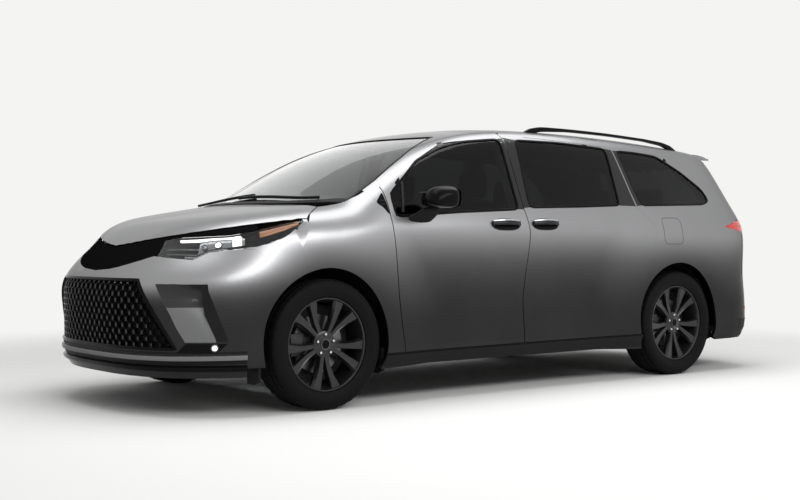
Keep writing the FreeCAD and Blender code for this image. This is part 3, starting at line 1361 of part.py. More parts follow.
def seat(front_x, middle_y, width, back_height):
    """Cushion, backrest and headrest of one seat on its plinth."""
    y = (middle_y - width / 2, middle_y + width / 2)
    rear = front_x - SEAT_LENGTH
    low = SEAT_HEIGHT - CUSHION_HEIGHT
    top = SEAT_HEIGHT + back_height
    cushion = [(front_x, low), (front_x, SEAT_HEIGHT - SEAT_SOFT), (front_x - SEAT_SOFT * 2, SEAT_HEIGHT),
               (rear, SEAT_HEIGHT - SEAT_SOFT), (rear, low)]
    back = [(rear + SEAT_SOFT, SEAT_HEIGHT - SEAT_SOFT * 2), (rear + SEAT_SOFT - BACK_LEAN, top),
            (rear - BACK_LEAN - BACK_WALL, top - SEAT_SOFT), (rear - BACK_WALL, low + SEAT_SOFT)]
    start = rear - BACK_LEAN
    head = [(start, top - SEAT_SOFT), (start - SEAT_SOFT, top + HEADREST_HEIGHT),
            (start - BACK_WALL + SEAT_SOFT, top + HEADREST_HEIGHT), (start - BACK_WALL + SEAT_SOFT, top - SEAT_SOFT * 2)]
    plinth = box((rear + PLINTH_INSET, front_x - PLINTH_INSET * 2), (y[0] + PLINTH_INSET, y[1] - PLINTH_INSET),
                 (FLOOR_HIGH + SEAT_GAP, low + PROBE))
    narrow = (middle_y - HEADREST_HALF_WIDTH, middle_y + HEADREST_HALF_WIDTH)
    return fused([prism_y(cushion, *y), prism_y(back, *y), prism_y(head, *narrow), plinth])


def front_seats():
    return [seat(FRONT_SEAT_X, side * SEAT_Y, SEAT_WIDTH, BACK_HEIGHT) for side in (-1, 1)]


def rear_seats():
    middle = [seat(SECOND_SEAT_X, side * SEAT_Y, SEAT_WIDTH, BACK_HEIGHT) for side in (-1, 1)]
    return middle + [seat(THIRD_SEAT_X, 0, BENCH_WIDTH, BENCH_BACK_HEIGHT)]


DASH_HALF_WIDTH = 800.0
DASH_LOW = 760.0
DASH_TOP = 1075.0
DASH_FRONT_X = 1010.0
DASH_REAR_X = 800.0
DASH_FACE_HEIGHT = 1010.0
DASH_KNEE_X = 880.0
DASH_KNEE_HEIGHT = 720.0
CONSOLE_HALF_WIDTH = 105.0
CONSOLE_REAR_X = 180.0
CONSOLE_BEND_X = 620.0
CONSOLE_HEIGHT = 600.0
CONSOLE_BEND_HEIGHT = 640.0
STEERING_POINT = FreeCAD.Vector(735.0, 390.0, 960.0)
STEERING_LEAN = 26.0
STEERING_RADIUS = 182.0
STEERING_GRIP = 15.0
STEERING_BAR = 16.0
STEERING_HUB_RADIUS = 52.0
STEERING_HUB_HALF = 22.0
COLUMN_RADIUS = 30.0
COLUMN_LENGTH = 130.0


def steering_point(along):
    lean = math.radians(STEERING_LEAN)
    return STEERING_POINT + FreeCAD.Vector(math.cos(lean), 0, -math.sin(lean)) * along


def dashboard():
    """Instrument panel with its centre console and the steering column."""
    front = FIREWALL_X - SEAT_GAP
    section = [(front, DASH_LOW), (front, DASH_TOP - SEAT_SOFT), (DASH_FRONT_X, DASH_TOP),
               (DASH_REAR_X, DASH_FACE_HEIGHT), (DASH_KNEE_X, DASH_KNEE_HEIGHT)]
    low = FLOOR_HIGH + TUNNEL_RISE + SEAT_GAP
    console = [(DASH_KNEE_X + SEAT_SOFT, DASH_LOW + SEAT_SOFT), (CONSOLE_BEND_X, CONSOLE_BEND_HEIGHT),
               (CONSOLE_REAR_X, CONSOLE_HEIGHT), (CONSOLE_REAR_X, low), (DASH_KNEE_X + SEAT_SOFT, low)]
    column = pole(COLUMN_RADIUS, steering_point(STEERING_HUB_HALF + SEAT_GAP), steering_point(COLUMN_LENGTH))
    return fused([prism_y(section, -DASH_HALF_WIDTH, DASH_HALF_WIDTH),
                  prism_y(console, -CONSOLE_HALF_WIDTH, CONSOLE_HALF_WIDTH), column])


def steering_wheel():
    """Ring with a cross bar and a hub, made flat and then leant towards the driver."""
    section = []
    for i in range(6):
        turn = math.pi * i / 3
        section.append((STEERING_RADIUS + STEERING_GRIP * math.cos(turn), STEERING_GRIP * math.sin(turn)))
    ring = turned(section, CALIPER_SIDES)
    bar = box((-STEERING_RADIUS, STEERING_RADIUS), (-STEERING_BAR / 2, STEERING_BAR / 2), (-STEERING_BAR, STEERING_BAR))
    stem = box((-STEERING_BAR, STEERING_BAR), (-STEERING_BAR / 2, STEERING_BAR / 2), (-STEERING_RADIUS, 0))
    hub = pole(STEERING_HUB_RADIUS, (0, -STEERING_HUB_HALF, 0), (0, STEERING_HUB_HALF, 0))
    wheel = fused([ring, bar, stem, hub])
    wheel.rotate(FreeCAD.Vector(0, 0, 0), FreeCAD.Vector(0, 0, 1), 90)
    wheel.rotate(FreeCAD.Vector(0, 0, 0), FreeCAD.Vector(0, 1, 0), STEERING_LEAN)
    wheel.translate(STEERING_POINT)
    return wheel


# Outer fittings
MIRROR_SHARES = ((0.2160, 0.6750), (0.2280, 0.7210), (0.2700, 0.7385), (0.3090, 0.7250), (0.3250, 0.6780), (0.3010, 0.6500), (0.2390, 0.6500))
MIRROR_ARM_SHARES = ((0.2700, 0.6240), (0.3320, 0.6240), (0.3240, 0.6670), (0.2780, 0.6670))
MIRROR_INNER_Y = 985.0
MIRROR_OUTER_Y = 1190.0
MIRROR_ARM_Y = 1010.0
RAIL_Y = 628.0
RAIL_HALF = 15.0
RAIL_SHARES = (
    (-0.0960, 0.9700), (-0.1620, 1.0010), (-0.4240, 1.0000), (-0.6560, 0.9780), (-0.7250, 0.9450),
    (-0.6900, 0.9300), (-0.6450, 0.9640), (-0.4240, 0.9860), (-0.1750, 0.9870), (-0.1500, 0.9500))


def mirror_housing():
    """Door mirror: a rounded housing on a short arm from the door."""
    housing = prism_y(side_runs(MIRROR_SHARES), MIRROR_INNER_Y, MIRROR_OUTER_Y)
    arm = prism_y(side_runs(MIRROR_ARM_SHARES), DOOR_HALF_WIDTH - DOOR_WALL, MIRROR_ARM_Y)
    whole = housing.fuse(arm)
    return largest(whole.cut(left_skin(-SEAT_GAP, SIDE_WALL)))


def roof_rails():
    rail = prism_y(side_runs(RAIL_SHARES), RAIL_Y - RAIL_HALF, RAIL_Y + RAIL_HALF)
    skin = left_skin(-SEAT_GAP, SIDE_WALL + SEAT_GAP)
    left = largest(rail.cut(skin))
    return [left, mirrored(left)]


def save_pair(name, shape):
    """A left-hand piece and its mirror image on the right, each in its own file."""
    save(name + "_left", shape)
    save(name + "_right", mirrored(shape))


def save_front_end(body):
    bumper = front_bumper()
    fender = largest(front_fender().cut(body))
    right, left = headlamps()
    left = largest(left.cut(fender).cut(bumper))
    panel = upper_grille_panel().cut(bumper).cut(left).cut(mirrored(left))
    save_pair("fender", fender)
    save("front_bumper", bumper)
    save("headlamps", left, mirrored(left))
    save("upper_grille_panel", largest(panel))
    save("lower_grille", largest(lower_grille().cut(bumper)))
    save("fog_lamps", *fog_lamps(bumper))
    save("front_splitter", front_splitter(bumper))
    save("hood", hood())


def save_sides(body):
    save_pair("body_side", body)
    save_pair("front_door", front_door())
    save_pair("front_door_glass", glass_pane(FRONT_GLASS_SHARES))
    save_pair("mirror", mirror_housing())
    save_pair("sliding_door", sliding_door())
    slider_glass = glass_pane(SLIDER_GLASS_SHARES)
    quarter_glass = glass_pane(QUARTER_GLASS_SHARES)
    save("fixed_side_glass", slider_glass, mirrored(slider_glass), quarter_glass, mirrored(quarter_glass))


def save_top_and_rear(body):
    save("roof_panel", roof_panel())
    save("windshield", windshield())
    save("roof_rails", *roof_rails())
    save("tailgate", tailgate())
    save("rear_glass", rear_glass())
    lamp = tail_lamp()
    save("tail_lamps", lamp, mirrored(lamp))
    save("rear_bumper", largest(rear_bumper().cut([body, mirrored(body)])))


def save_underbody():
    save("floor_pan", floor_pan())
    save("front_structure", front_structure())
    save("front_arch_liners", *front_liners())
    save("front_subframe", front_subframe())
    strut = front_strut()
    save("front_struts", strut, mirrored(strut))
    save("rear_axle", rear_axle())
    save("engine_block", engine_block())
    save("fuel_tank", fuel_tank())
    save("exhaust", exhaust())


def save_cabin():
    save("front_seats", *front_seats())
    save("rear_seats", *rear_seats())
    save("dashboard", dashboard())
    save("steering_wheel", steering_wheel())


def save_wheels():
    save_pair("knuckle", knuckle())
    wheel_rim = rim()
    wheel_tyre = tyre()
    for end, axle_x in (("front", FRONT_AXLE_X), ("rear", REAR_AXLE_X)):
        for hand, side in (("left", 1), ("right", -1)):
            save("rim_" + end + "_" + hand, wheel_place(wheel_rim, axle_x, side))
            save("tyre_" + end + "_" + hand, wheel_place(wheel_tyre, axle_x, side))


left_body = body_side()
save_front_end(left_body)
save_sides(left_body)
save_top_and_rear(left_body)
save_underbody()
save_cabin()
save_wheels()
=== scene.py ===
"""Looks of a three-row minivan: painted panels, glass, lamps, wheels and cabin round its CAD frame."""

import json
import logging
import math
from dataclasses import dataclass, field, replace
from enum import Enum
from typing import Callable, Optional, Sequence

import bmesh
import bpy
import numpy as np
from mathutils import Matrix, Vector

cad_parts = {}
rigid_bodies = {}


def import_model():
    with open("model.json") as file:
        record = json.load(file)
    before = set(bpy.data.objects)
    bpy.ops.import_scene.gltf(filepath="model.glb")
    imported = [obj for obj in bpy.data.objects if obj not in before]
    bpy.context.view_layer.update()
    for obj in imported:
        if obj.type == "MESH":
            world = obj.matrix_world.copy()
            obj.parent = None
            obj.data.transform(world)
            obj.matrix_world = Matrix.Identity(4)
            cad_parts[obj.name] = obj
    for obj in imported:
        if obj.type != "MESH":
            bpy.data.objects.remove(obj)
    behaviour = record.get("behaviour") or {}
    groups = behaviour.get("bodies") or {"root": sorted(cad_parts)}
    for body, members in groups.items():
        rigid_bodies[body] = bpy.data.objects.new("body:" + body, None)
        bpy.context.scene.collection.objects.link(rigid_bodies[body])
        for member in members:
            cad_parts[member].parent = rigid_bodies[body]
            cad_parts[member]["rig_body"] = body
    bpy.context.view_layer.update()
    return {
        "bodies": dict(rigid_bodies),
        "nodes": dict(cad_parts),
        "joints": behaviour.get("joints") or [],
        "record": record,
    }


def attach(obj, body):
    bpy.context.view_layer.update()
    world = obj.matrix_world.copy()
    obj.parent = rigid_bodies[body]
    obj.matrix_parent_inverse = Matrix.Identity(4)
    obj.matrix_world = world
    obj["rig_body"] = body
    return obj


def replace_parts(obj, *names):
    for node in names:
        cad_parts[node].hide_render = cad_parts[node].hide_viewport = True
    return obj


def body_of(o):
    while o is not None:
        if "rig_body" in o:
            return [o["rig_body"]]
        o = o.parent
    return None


log = logging.getLogger("minivan")

Grid = np.ndarray
Pair = tuple[float, float]
Form = tuple[Grid, list[list[int]]]
Mapping = Callable[[Grid], Grid]

MM = 0.001
NOSE_X = 2592.0
ROOF_HEIGHT = 1740.0
DOOR_HALF_WIDTH = 960.0
FRONT_AXLE_X = 1582.0
REAR_AXLE_X = -1479.0
AXLE_HEIGHT = 371.5
WHEEL_Y = 855.0
ARCH_HEIGHT = 385.0
ARCH_RADIUS = 420.0
FRONT_TURN_X = 1600.0
REAR_TURN_X = -1860.0
TAIL_SPINE_X = -1700.0
CHASSIS = "chassis"
TAILGATE = "tailgate"
SIDES = ("left", "right")
# Millimetres of skin for one degree round the nose and round the tail
NOSE_STRETCH = (17, 1)
TAIL_STRETCH = (14, 1)

# Body section, centre lines and nose power: the same shares of the sizes as in the frame
SECTION = ((0.080, 0.940), (0.126, 0.962), (0.165, 0.985), (0.220, 0.987), (0.330, 0.980), (0.450, 0.990),
           (0.560, 1.000), (0.600, 0.994), (0.650, 0.968), (0.720, 0.918), (0.800, 0.862), (0.900, 0.790),
           (1.000, 0.712), (1.100, 0.630))
NOSE = ((0.086, 0.953), (0.132, 0.982), (0.172, 0.9935), (0.241, 0.9985), (0.322, 1.000), (0.402, 0.999),
        (0.437, 0.993), (0.468, 0.982), (0.500, 0.966), (0.534, 0.945), (0.575, 0.927), (0.644, 0.899),
        (0.718, 0.872))
TAIL = ((0.086, 0.950), (0.132, 0.972), (0.190, 0.993), (0.259, 1.000), (0.322, 0.998), (0.397, 0.988),
        (0.489, 0.984), (0.575, 0.981), (0.632, 0.973), (0.718, 0.950), (0.805, 0.923), (0.891, 0.892),
        (0.977, 0.857), (1.034, 0.832))
NOSE_POWER = ((0.086, 2.85), (0.345, 2.85), (0.425, 2.75), (0.500, 2.35), (0.575, 2.25), (0.690, 2.25))
HOOD = ((0.502, 0.704), (0.617, 0.684), (0.694, 0.6665), (0.772, 0.6465), (0.849, 0.6205), (0.907, 0.5910),
        (0.945, 0.5560), (0.984, 0.5070), (1.022, 0.4500))
WINDSHIELD = ((0.039, 1.017), (0.154, 0.980), (0.266, 0.928), (0.399, 0.847), (0.512, 0.763), (0.602, 0.694),
              (0.694, 0.624))
ROOF = ((-0.965, 0.920), (-0.849, 0.951), (-0.694, 0.974), (-0.502, 0.990), (-0.309, 0.999), (-0.116, 1.000),
        (0.000, 0.995), (0.154, 0.974), (0.309, 0.937))

# Outlines seen from the side, as shares of half the length and of the roof height
FRONT_GLASS = ((0.4160, 0.6330), (0.4160, 0.7120), (0.3067, 0.8368), (0.2207, 0.8902), (0.1400, 0.9180),
               (0.0216, 0.9356), (0.0216, 0.6680), (0.2226, 0.6530))
SLIDER_GLASS = ((-0.0330, 0.9360), (-0.1900, 0.9380), (-0.3700, 0.9250), (-0.3600, 0.6940), (-0.2000, 0.6840),
                (-0.0170, 0.6760))
QUARTER_GLASS = ((-0.4140, 0.9200), (-0.4900, 0.9180), (-0.5800, 0.9085), (-0.6700, 0.8450),
                 (-0.7420, 0.7724), (-0.7560, 0.7250), (-0.7200, 0.7080), (-0.4460, 0.6960))
TAIL_LAMP = ((-0.7880, 0.6130), (-0.8600, 0.6380), (-1.0300, 0.6440), (-1.0300, 0.5850), (-0.8700, 0.5950))


class Spline:
    """Natural cubic spline through stations, straight beyond its ends."""

    def __init__(self, stations: Sequence[Pair], place_size: float = 1.0, value_size: float = 1.0) -> None:
        """Solves the spline's bends once.

        Args:
            stations: (place, value) shares in rising order of place.
            place_size: length that the places are shares of.
            value_size: length that the values are shares of.
        """
        rows = np.array(stations, float)
        self.place = rows[:, 0] * place_size
        self.value = rows[:, 1] * value_size
        self.span = np.diff(self.place)
        slope = np.diff(self.value) / self.span
        count = len(self.place)
        system = np.eye(count)
        right = np.zeros(count)
        for i in range(1, count - 1):
            system[i, i - 1:i + 2] = self.span[i - 1], 2 * (self.span[i - 1] + self.span[i]), self.span[i]
            right[i] = 6 * (slope[i] - slope[i - 1])
        self.bend = np.linalg.solve(system, right)
        self.start_slope = slope[0] - self.span[0] * self.bend[1] / 6
        self.end_slope = slope[-1] + self.span[-1] * self.bend[-2] / 6

    def __call__(self, at: Grid) -> Grid:
        """Reads the spline.

        Args:
            at: places along it.

        Returns:
            Its value at each place.
        """
        at = np.asarray(at, float)
        i = np.clip(np.searchsorted(self.place, at) - 1, 0, len(self.span) - 1)
        span = self.span[i]
        low = (self.place[i + 1] - at) / span
        high = (at - self.place[i]) / span
        inside = low * self.value[i] + high * self.value[i + 1]
        bend = (low ** 3 - low) * self.bend[i] + (high ** 3 - high) * self.bend[i + 1]
        inside = inside + bend * span ** 2 / 6
        before = self.value[0] + self.start_slope * (at - self.place[0])
        after = self.value[-1] + self.end_slope * (at - self.place[-1])
        return np.where(at <= self.place[0], before, np.where(at >= self.place[-1], after, inside))


def soft_max(first: Grid, second: Grid, rounding: Grid) -> Grid:
    """Larger of two distances, blended over a rounding length."""
    blend = np.maximum(rounding - np.abs(first - second), 0) / rounding
    return np.maximum(first, second) + blend ** 3 * rounding / 6


def fade(share: Grid) -> Grid:
    """One at zero or below, falling smoothly to zero at one."""
    share = np.clip(share, 0, 1)
    return (1 - share * share) ** 2


def ramp(value: Grid, start: float, run: float) -> Grid:
    """Zero below the start, rising straight to one over the run."""
    return np.clip((value - start) / run, 0, 1)


@dataclass
class BodySkin:
    """The van's outer surface in millimetres, as a distance field that every panel settles on."""

    fender_bulge: float = 28.0
    fender_reach: float = 420.0
    haunch_bulge: float = 34.0
    haunch_reach: float = 520.0
    haunch_behind: float = 0.8
    haunch_squash: float = 0.86
    taper_start: float = -600.0
    taper_run: float = 1900.0
    taper_depth: float = 60.0
    taper_low: float = 1100.0
    taper_rise: float = 400.0
    hood_crown: float = 45.0
    hood_half: float = 900.0
    roof_crown: float = 36.0
    roof_half: float = 600.0
    windshield_bow: float = 240.0
    windshield_half: float = 800.0
    header_rounding: float = 120.0
    cowl_rounding: float = 60.0
    shoulder_rounding: float = 150.0
    nose_rounding: float = 110.0
    nose_start: float = 1000.0
    nose_run: float = 500.0
    tail_power: float = 4.0
    spine_height: float = 620.0
    settle_rounds: int = 5
    cast_step: float = 60.0
    cast_rounds: int = 60
    cast_halvings: int = 22

    def __post_init__(self) -> None:
        """Makes the section and centre-line splines."""
        self.section = Spline(SECTION, ROOF_HEIGHT, DOOR_HALF_WIDTH)
        self.nose = Spline(NOSE, ROOF_HEIGHT, NOSE_X)
        self.tail = Spline(TAIL, ROOF_HEIGHT, -NOSE_X)
        self.power = Spline(NOSE_POWER, ROOF_HEIGHT)
        self.hood = Spline(HOOD, NOSE_X, ROOF_HEIGHT)
        self.glass = Spline(WINDSHIELD, NOSE_X, ROOF_HEIGHT)
        self.roof = Spline(ROOF, NOSE_X, ROOF_HEIGHT)

    def half_width(self, x: Grid, z: Grid) -> Grid:
        """Half width of the body, with its bulges over the wheels.

        Args:
            x: places along the van.
            z: heights.

        Returns:
            The half width at each place.
        """
        width = self.section(z)
        reach = np.hypot(x - FRONT_AXLE_X, z - ARCH_HEIGHT)
        width = width + self.fender_bulge * fade((reach - ARCH_RADIUS) / self.fender_reach)
        along = x - REAR_AXLE_X
        along = np.where(along < 0, along * self.haunch_behind, along)
        reach = np.hypot(along, (z - ARCH_HEIGHT) * self.haunch_squash)
        beyond = reach - ARCH_RADIUS * self.haunch_squash
        width = width + self.haunch_bulge * fade(beyond / self.haunch_reach)
        taper = (np.maximum(self.taper_start - x, 0) / self.taper_run) ** 2
        return width - self.taper_depth * taper * ramp(z, self.taper_low, self.taper_rise)

    def top(self, x: Grid, y: Grid) -> Grid:
        """Height of the hood, windshield and roof.

        Args:
            x: places along the van.
            y: places across it.

        Returns:
            The height over each plan point.
        """
        hood = self.hood(x) - self.hood_crown * (np.abs(y) / self.hood_half) ** 2
        glass = self.glass(x + self.windshield_bow * (y / self.windshield_half) ** 2)
        roof = self.roof(x) - self.roof_crown * (y / self.roof_half) ** 2
        return soft_max(hood, -soft_max(-glass, -roof, self.header_rounding), self.cowl_rounding)

    def distance(self, points: Grid) -> Grid:
        """Distance from the skin.

        Args:
            points: points in millimetres.

        Returns:
            The distance outside of each point, below zero inside.
        """
        x, y, z = points[..., 0], points[..., 1], points[..., 2]
        half = self.half_width(x, z)
        side = np.abs(y) / half
        front = np.maximum((x - FRONT_TURN_X) / (self.nose(z) - FRONT_TURN_X), 0)
        rear = np.maximum((x - REAR_TURN_X) / (self.tail(z) - REAR_TURN_X), 0)
        power = np.where(x > FRONT_TURN_X, self.power(z), self.tail_power)
        end = np.where(x > FRONT_TURN_X, front, rear)
        plan = ((side ** power + end ** power) ** (1 / power) - 1) * half
        rounding = self.shoulder_rounding + self.nose_rounding * ramp(x, self.nose_start, self.nose_run)
        return soft_max(plan, z - self.top(x, y), rounding)

    def gradient(self, points: Grid) -> Grid:
        """Slope of the distance at each point."""
        slopes = [(self.distance(points + axis) - self.distance(points - axis)) / 2 for axis in np.eye(3)]
        return np.stack(slopes, -1)

    def normal(self, points: Grid) -> Grid:
        """Unit outward normals."""
        slope = self.gradient(points)
        return slope / np.linalg.norm(slope, axis=-1, keepdims=True)

    def settle(self, points: Grid, depth: Grid | float = 0.0) -> tuple[Grid, Grid]:
        """Moves points onto the skin and then inwards by a depth.

        Args:
            points: points near the skin, in millimetres.
            depth: depth below the skin, one number or one for each point.

        Returns:
            The moved points and the skin's normals there.
        """
        moved = points.copy()
        for _ in range(self.settle_rounds):
            slope = self.gradient(moved)
            moved -= slope * (self.distance(moved) / (slope ** 2).sum(-1))[..., None]
        normals = self.normal(moved)
        return moved - normals * np.asarray(depth)[..., None], normals

    def cast(self, origins: Grid, directions: Grid) -> Grid:
        """Points where rays from inside the body leave its skin.

        Args:
            origins: start of each ray, in millimetres.
            directions: heading of each ray.

        Returns:
            A point on the skin for each ray.
        """
        directions = directions / np.linalg.norm(directions, axis=-1, keepdims=True)
        far = np.full(origins.shape[:-1], self.cast_step)
        for _ in range(self.cast_rounds):
            inside = self.distance(origins + directions * far[..., None]) < 0
            if not inside.any():
                break
            far = np.where(inside, far + self.cast_step, far)
        near = far - self.cast_step
        for _ in range(self.cast_halvings):
            middle = (near + far) / 2
            inside = self.distance(origins + directions * middle[..., None]) < 0
            near = np.where(inside, middle, near)
            far = np.where(inside, far, middle)
        return origins + directions * near[..., None]

    def side(self, places: Grid) -> Grid:
        """Skin points on the left side over (x, z) places."""
        origins = np.stack([places[..., 0], places[..., 0] * 0, places[..., 1]], -1)
        return self.cast(origins, np.broadcast_to(np.array([0.0, 1.0, 0.0]), origins.shape))

    def front(self, places: Grid) -> Grid:
        """Skin points round the nose at (plan angle in degrees, height)."""
        return self.around(places, FRONT_TURN_X, 1.0)

    def back(self, places: Grid) -> Grid:
        """Skin points round the tail at (plan angle in degrees, height)."""
        return self.around(places, TAIL_SPINE_X, -1.0)

    def around(self, places: Grid, centre: float, heading: float) -> Grid:
        """Skin points about a vertical line.

        Args:
            places: (plan angle in degrees, height) of each point.
            centre: place of the line along the van.
            heading: 1 to look forwards and -1 to look back.

        Returns:
            The skin points.
        """
        turn = np.radians(places[..., 0])
        zero = turn * 0
        origins = np.stack([zero + centre, zero, places[..., 1]], -1)
        return self.cast(origins, np.stack([heading * np.cos(turn), np.sin(turn), zero], -1))

    def over(self, places: Grid) -> Grid:
        """Skin points under the sky at (x, y) places."""
        zero = places[..., 0] * 0
        origins = np.stack([places[..., 0], places[..., 1], zero + self.spine_height], -1)
        return self.cast(origins, np.stack([zero, zero, zero + 1], -1))

    def behind(self, places: Grid) -> Grid:
        """Skin points seen from behind at (y, z) places."""
        zero = places[..., 0] * 0
        origins = np.stack([zero + TAIL_SPINE_X, places[..., 0], places[..., 1]], -1)
        return self.cast(origins, np.stack([zero - 1, zero, zero], -1))


SKIN = BodySkin()


def on_skin(place: Mapping, places: Sequence[Pair] | Grid, depth: float = 0.0) -> Grid:
    """Places on the skin, sunk by a depth."""
    return SKIN.settle(place(np.asarray(places, float)), depth)[0]


# Finishes
def add_node(tree: bpy.types.NodeTree, kind: str, inputs: Optional[dict] = None,
             **settings: object) -> bpy.types.Node:
    """Adds one node to a tree.

    Args:
        tree: the node tree.
        kind: the node's type.
        inputs: for each input, by name or number, the socket that feeds it or its plain value.
        **settings: the node's own settings.

    Returns:
        The node.
    """
    made = tree.nodes.new(kind)
    for name, value in settings.items():
        setattr(made, name, value)
    for key, value in (inputs or {}).items():
        if isinstance(value, bpy.types.NodeSocket):
            tree.links.new(value, made.inputs[key])
        else:
            made.inputs[key].default_value = value
    return made


def add_math(tree: bpy.types.NodeTree, operation: str, *values: object) -> bpy.types.NodeSocket:
    """Adds a math node fed by sockets or numbers and gives its result."""
    return add_node(tree, "ShaderNodeMath", dict(enumerate(values)), operation=operation).outputs[0]


class Base(Enum):
    """What a surface is made of, for its shader's plain settings."""

    PAINT = "paint"
    PLASTIC = "plastic"
    METAL = "metal"
    GLASS = "glass"
    CLOTH = "cloth"
    LIGHT = "light"


@dataclass(frozen=True)
class Finish:
    """One surface finish: colours, gloss and the size of its grain."""

    name: str
    base: Base
    colour: tuple[float, float, float]
    slot: str
    roughness: float = 0.4
    metallic: float = 0.0
    coat: float = 0.0
    grain: float = 60.0
    relief: float = 0.05
    spread: float = 0.05
    # Share of the colour left on low, downward-facing surfaces: painted shade
    painted_low_shade: float = 1.0
    glow: float = 0.0
    specular: float = 0.5
    index: float = 1.5
    edge: float = 1.0
    coat_roughness: float = 0.03
    sheen: float = 0.3

    def material(self) -> bpy.types.Material:
        """Builds the finish's material once.

        Returns:
            The material of this finish.
        """
        found = bpy.data.materials.get(self.name)
        if found:
            return found
        made = bpy.data.materials.new(self.name)
        made.use_nodes = True
        tree = made.node_tree
        place = add_node(tree, "ShaderNodeTexCoord")
        given = {"Place": place.outputs["Object"], "Facing": place.outputs["Normal"],
                 "Colour": (*self.colour, 1.0), "Grain": self.grain, "Spread": self.spread,
                 "Roughness": self.roughness, "Painted Low Shade": self.painted_low_shade}
        surface = add_node(tree, "ShaderNodeGroup", given, node_tree=surface_group())
        shader = tree.nodes["Principled BSDF"]
        tree.links.new(surface.outputs["Colour"], shader.inputs["Base Color"])
        tree.links.new(surface.outputs["Roughness"], shader.inputs["Roughness"])
        if self.relief > 0:
            bump = add_node(tree, "ShaderNodeBump", {"Strength": self.relief, "Distance": MM,
                                                     "Height": surface.outputs["Height"]})
            tree.links.new(bump.outputs["Normal"], shader.inputs["Normal"])
        for key, value in self._plain_values().items():
            shader.inputs[key].default_value = value
        return made

    def _plain_values(self) -> dict:
        """Plain values of the shader.

        Returns:
            The value of each input that stays the same over the surface.
        """
        values = {"Metallic": self.metallic, "Specular IOR Level": self.specular,
                  "Specular Tint": (self.edge, self.edge, self.edge, 1.0), "Coat Weight": self.coat,
                  "Coat Roughness": self.coat_roughness}
        if self.base is Base.GLASS:
            values |= {"Transmission Weight": 1.0, "IOR": self.index}
        if self.base is Base.CLOTH:
            values |= {"Sheen Weight": self.sheen}
        if self.glow > 0:
            values |= {"Emission Color": (*self.colour, 1.0), "Emission Strength": self.glow}
        return values


def surface_group() -> bpy.types.NodeTree:
    """Node group of uneven colour, gloss and grain, and of the painted low shade, that every finish shares.

    Returns:
        The group, with outputs Colour, Roughness and Height.
    """
    found = bpy.data.node_groups.get("surface")
    if found:
        return found
    tree = bpy.data.node_groups.new("surface", "ShaderNodeTree")
    sockets = (("Place", "INPUT", "Vector"), ("Facing", "INPUT", "Vector"), ("Colour", "INPUT", "Color"),
               ("Grain", "INPUT", "Float"), ("Spread", "INPUT", "Float"), ("Roughness", "INPUT", "Float"),
               ("Painted Low Shade", "INPUT", "Float"), ("Colour", "OUTPUT", "Color"),
               ("Roughness", "OUTPUT", "Float"), ("Height", "OUTPUT", "Float"))
    for name, way, kind in sockets:
        tree.interface.new_socket(name, in_out=way, socket_type="NodeSocket" + kind)
    given = add_node(tree, "NodeGroupInput").outputs
    broad = add_node(tree, "ShaderNodeTexNoise", {"Vector": given["Place"], "Scale": 2.2, "Detail": 3.0})
    fine = add_node(tree, "ShaderNodeTexNoise", {"Vector": given["Place"], "Scale": given["Grain"],
                                                 "Detail": 4.0})
    place = add_node(tree, "ShaderNodeSeparateXYZ", {"Vector": given["Place"]})
    facing = add_node(tree, "ShaderNodeSeparateXYZ", {"Vector": given["Facing"]})
    # Painted shade: surfaces that look up and lie high keep the full colour, low upright and downward-facing
    # ones are darkened towards the painted low shade
    high = add_math(tree, "MULTIPLY_ADD", place.outputs["Z"], 1.5, -0.78)
    lit = add_math(tree, "MULTIPLY_ADD", facing.outputs["Z"], 2.0, high)
    eased = add_node(tree, "ShaderNodeMapRange", {"Value": lit}, interpolation_type="SMOOTHSTEP")
    low = add_node(tree, "ShaderNodeMix", {"Factor": eased.outputs["Result"], "A": given["Painted Low Shade"],
                                           "B": 1.0})
    noise = add_math(tree, "ADD", broad.outputs["Fac"], fine.outputs["Fac"])
    shade = add_math(tree, "SUBTRACT", noise, 1.0)
    bright = add_math(tree, "MULTIPLY_ADD", shade, given["Spread"], low.outputs["Result"])
    colour = add_node(tree, "ShaderNodeVectorMath", {"Vector": given["Colour"], "Scale": bright},
                      operation="SCALE")
    rough = add_math(tree, "MULTIPLY_ADD", shade, 0.06, given["Roughness"])
    add_node(tree, "NodeGroupOutput", {"Colour": colour.outputs["Vector"], "Roughness": rough,
                                       "Height": fine.outputs["Fac"]})
    return tree


# Body paint, darkened as painted shade to 0.07 of its colour on low, downward-facing panels
PAINT = Finish("metallic_grey_paint", Base.PAINT, (0.300, 0.301, 0.310), "body_paint", 0.33, 0.9, 0.25, 900.0,
               0.012, 0.06, 0.07, edge=0.35)
# Lighter copy of the body paint without the painted low shade: painted light on the bumper lip and fog blade
LIT_PAINT_COPY = replace(PAINT, name="lit_copy_grey_paint", colour=(0.16, 0.161, 0.166), painted_low_shade=1.0)
# Near-black copy of the body paint: painted shade in the fog pocket's hollow
PAINTED_SHADE_PAINT = replace(PAINT, name="painted_shade_grey_paint", colour=(0.022, 0.022, 0.024), roughness=0.42,
                       metallic=0.6, coat=0.2, painted_low_shade=1.0, edge=1.0)
GLOSS_BLACK = Finish("gloss_black_plastic", Base.PLASTIC, (0.005, 0.005, 0.0055), "gloss_black", 0.14,
                     grain=200.0, relief=0.01, specular=0.05)
PANEL_BLACK = replace(GLOSS_BLACK, name="deep_black_panel", colour=(0.006, 0.006, 0.0065), roughness=0.2,
                      specular=0.0)
MESH_BLACK = replace(GLOSS_BLACK, name="grille_mesh_gloss", colour=(0.012, 0.012, 0.013), roughness=0.16,
                     coat=0.3, specular=0.5)
PILLAR_BLACK = replace(GLOSS_BLACK, name="pillar_trim_film", colour=(0.020, 0.020, 0.021), roughness=0.22,
                       grain=300.0, specular=0.15)
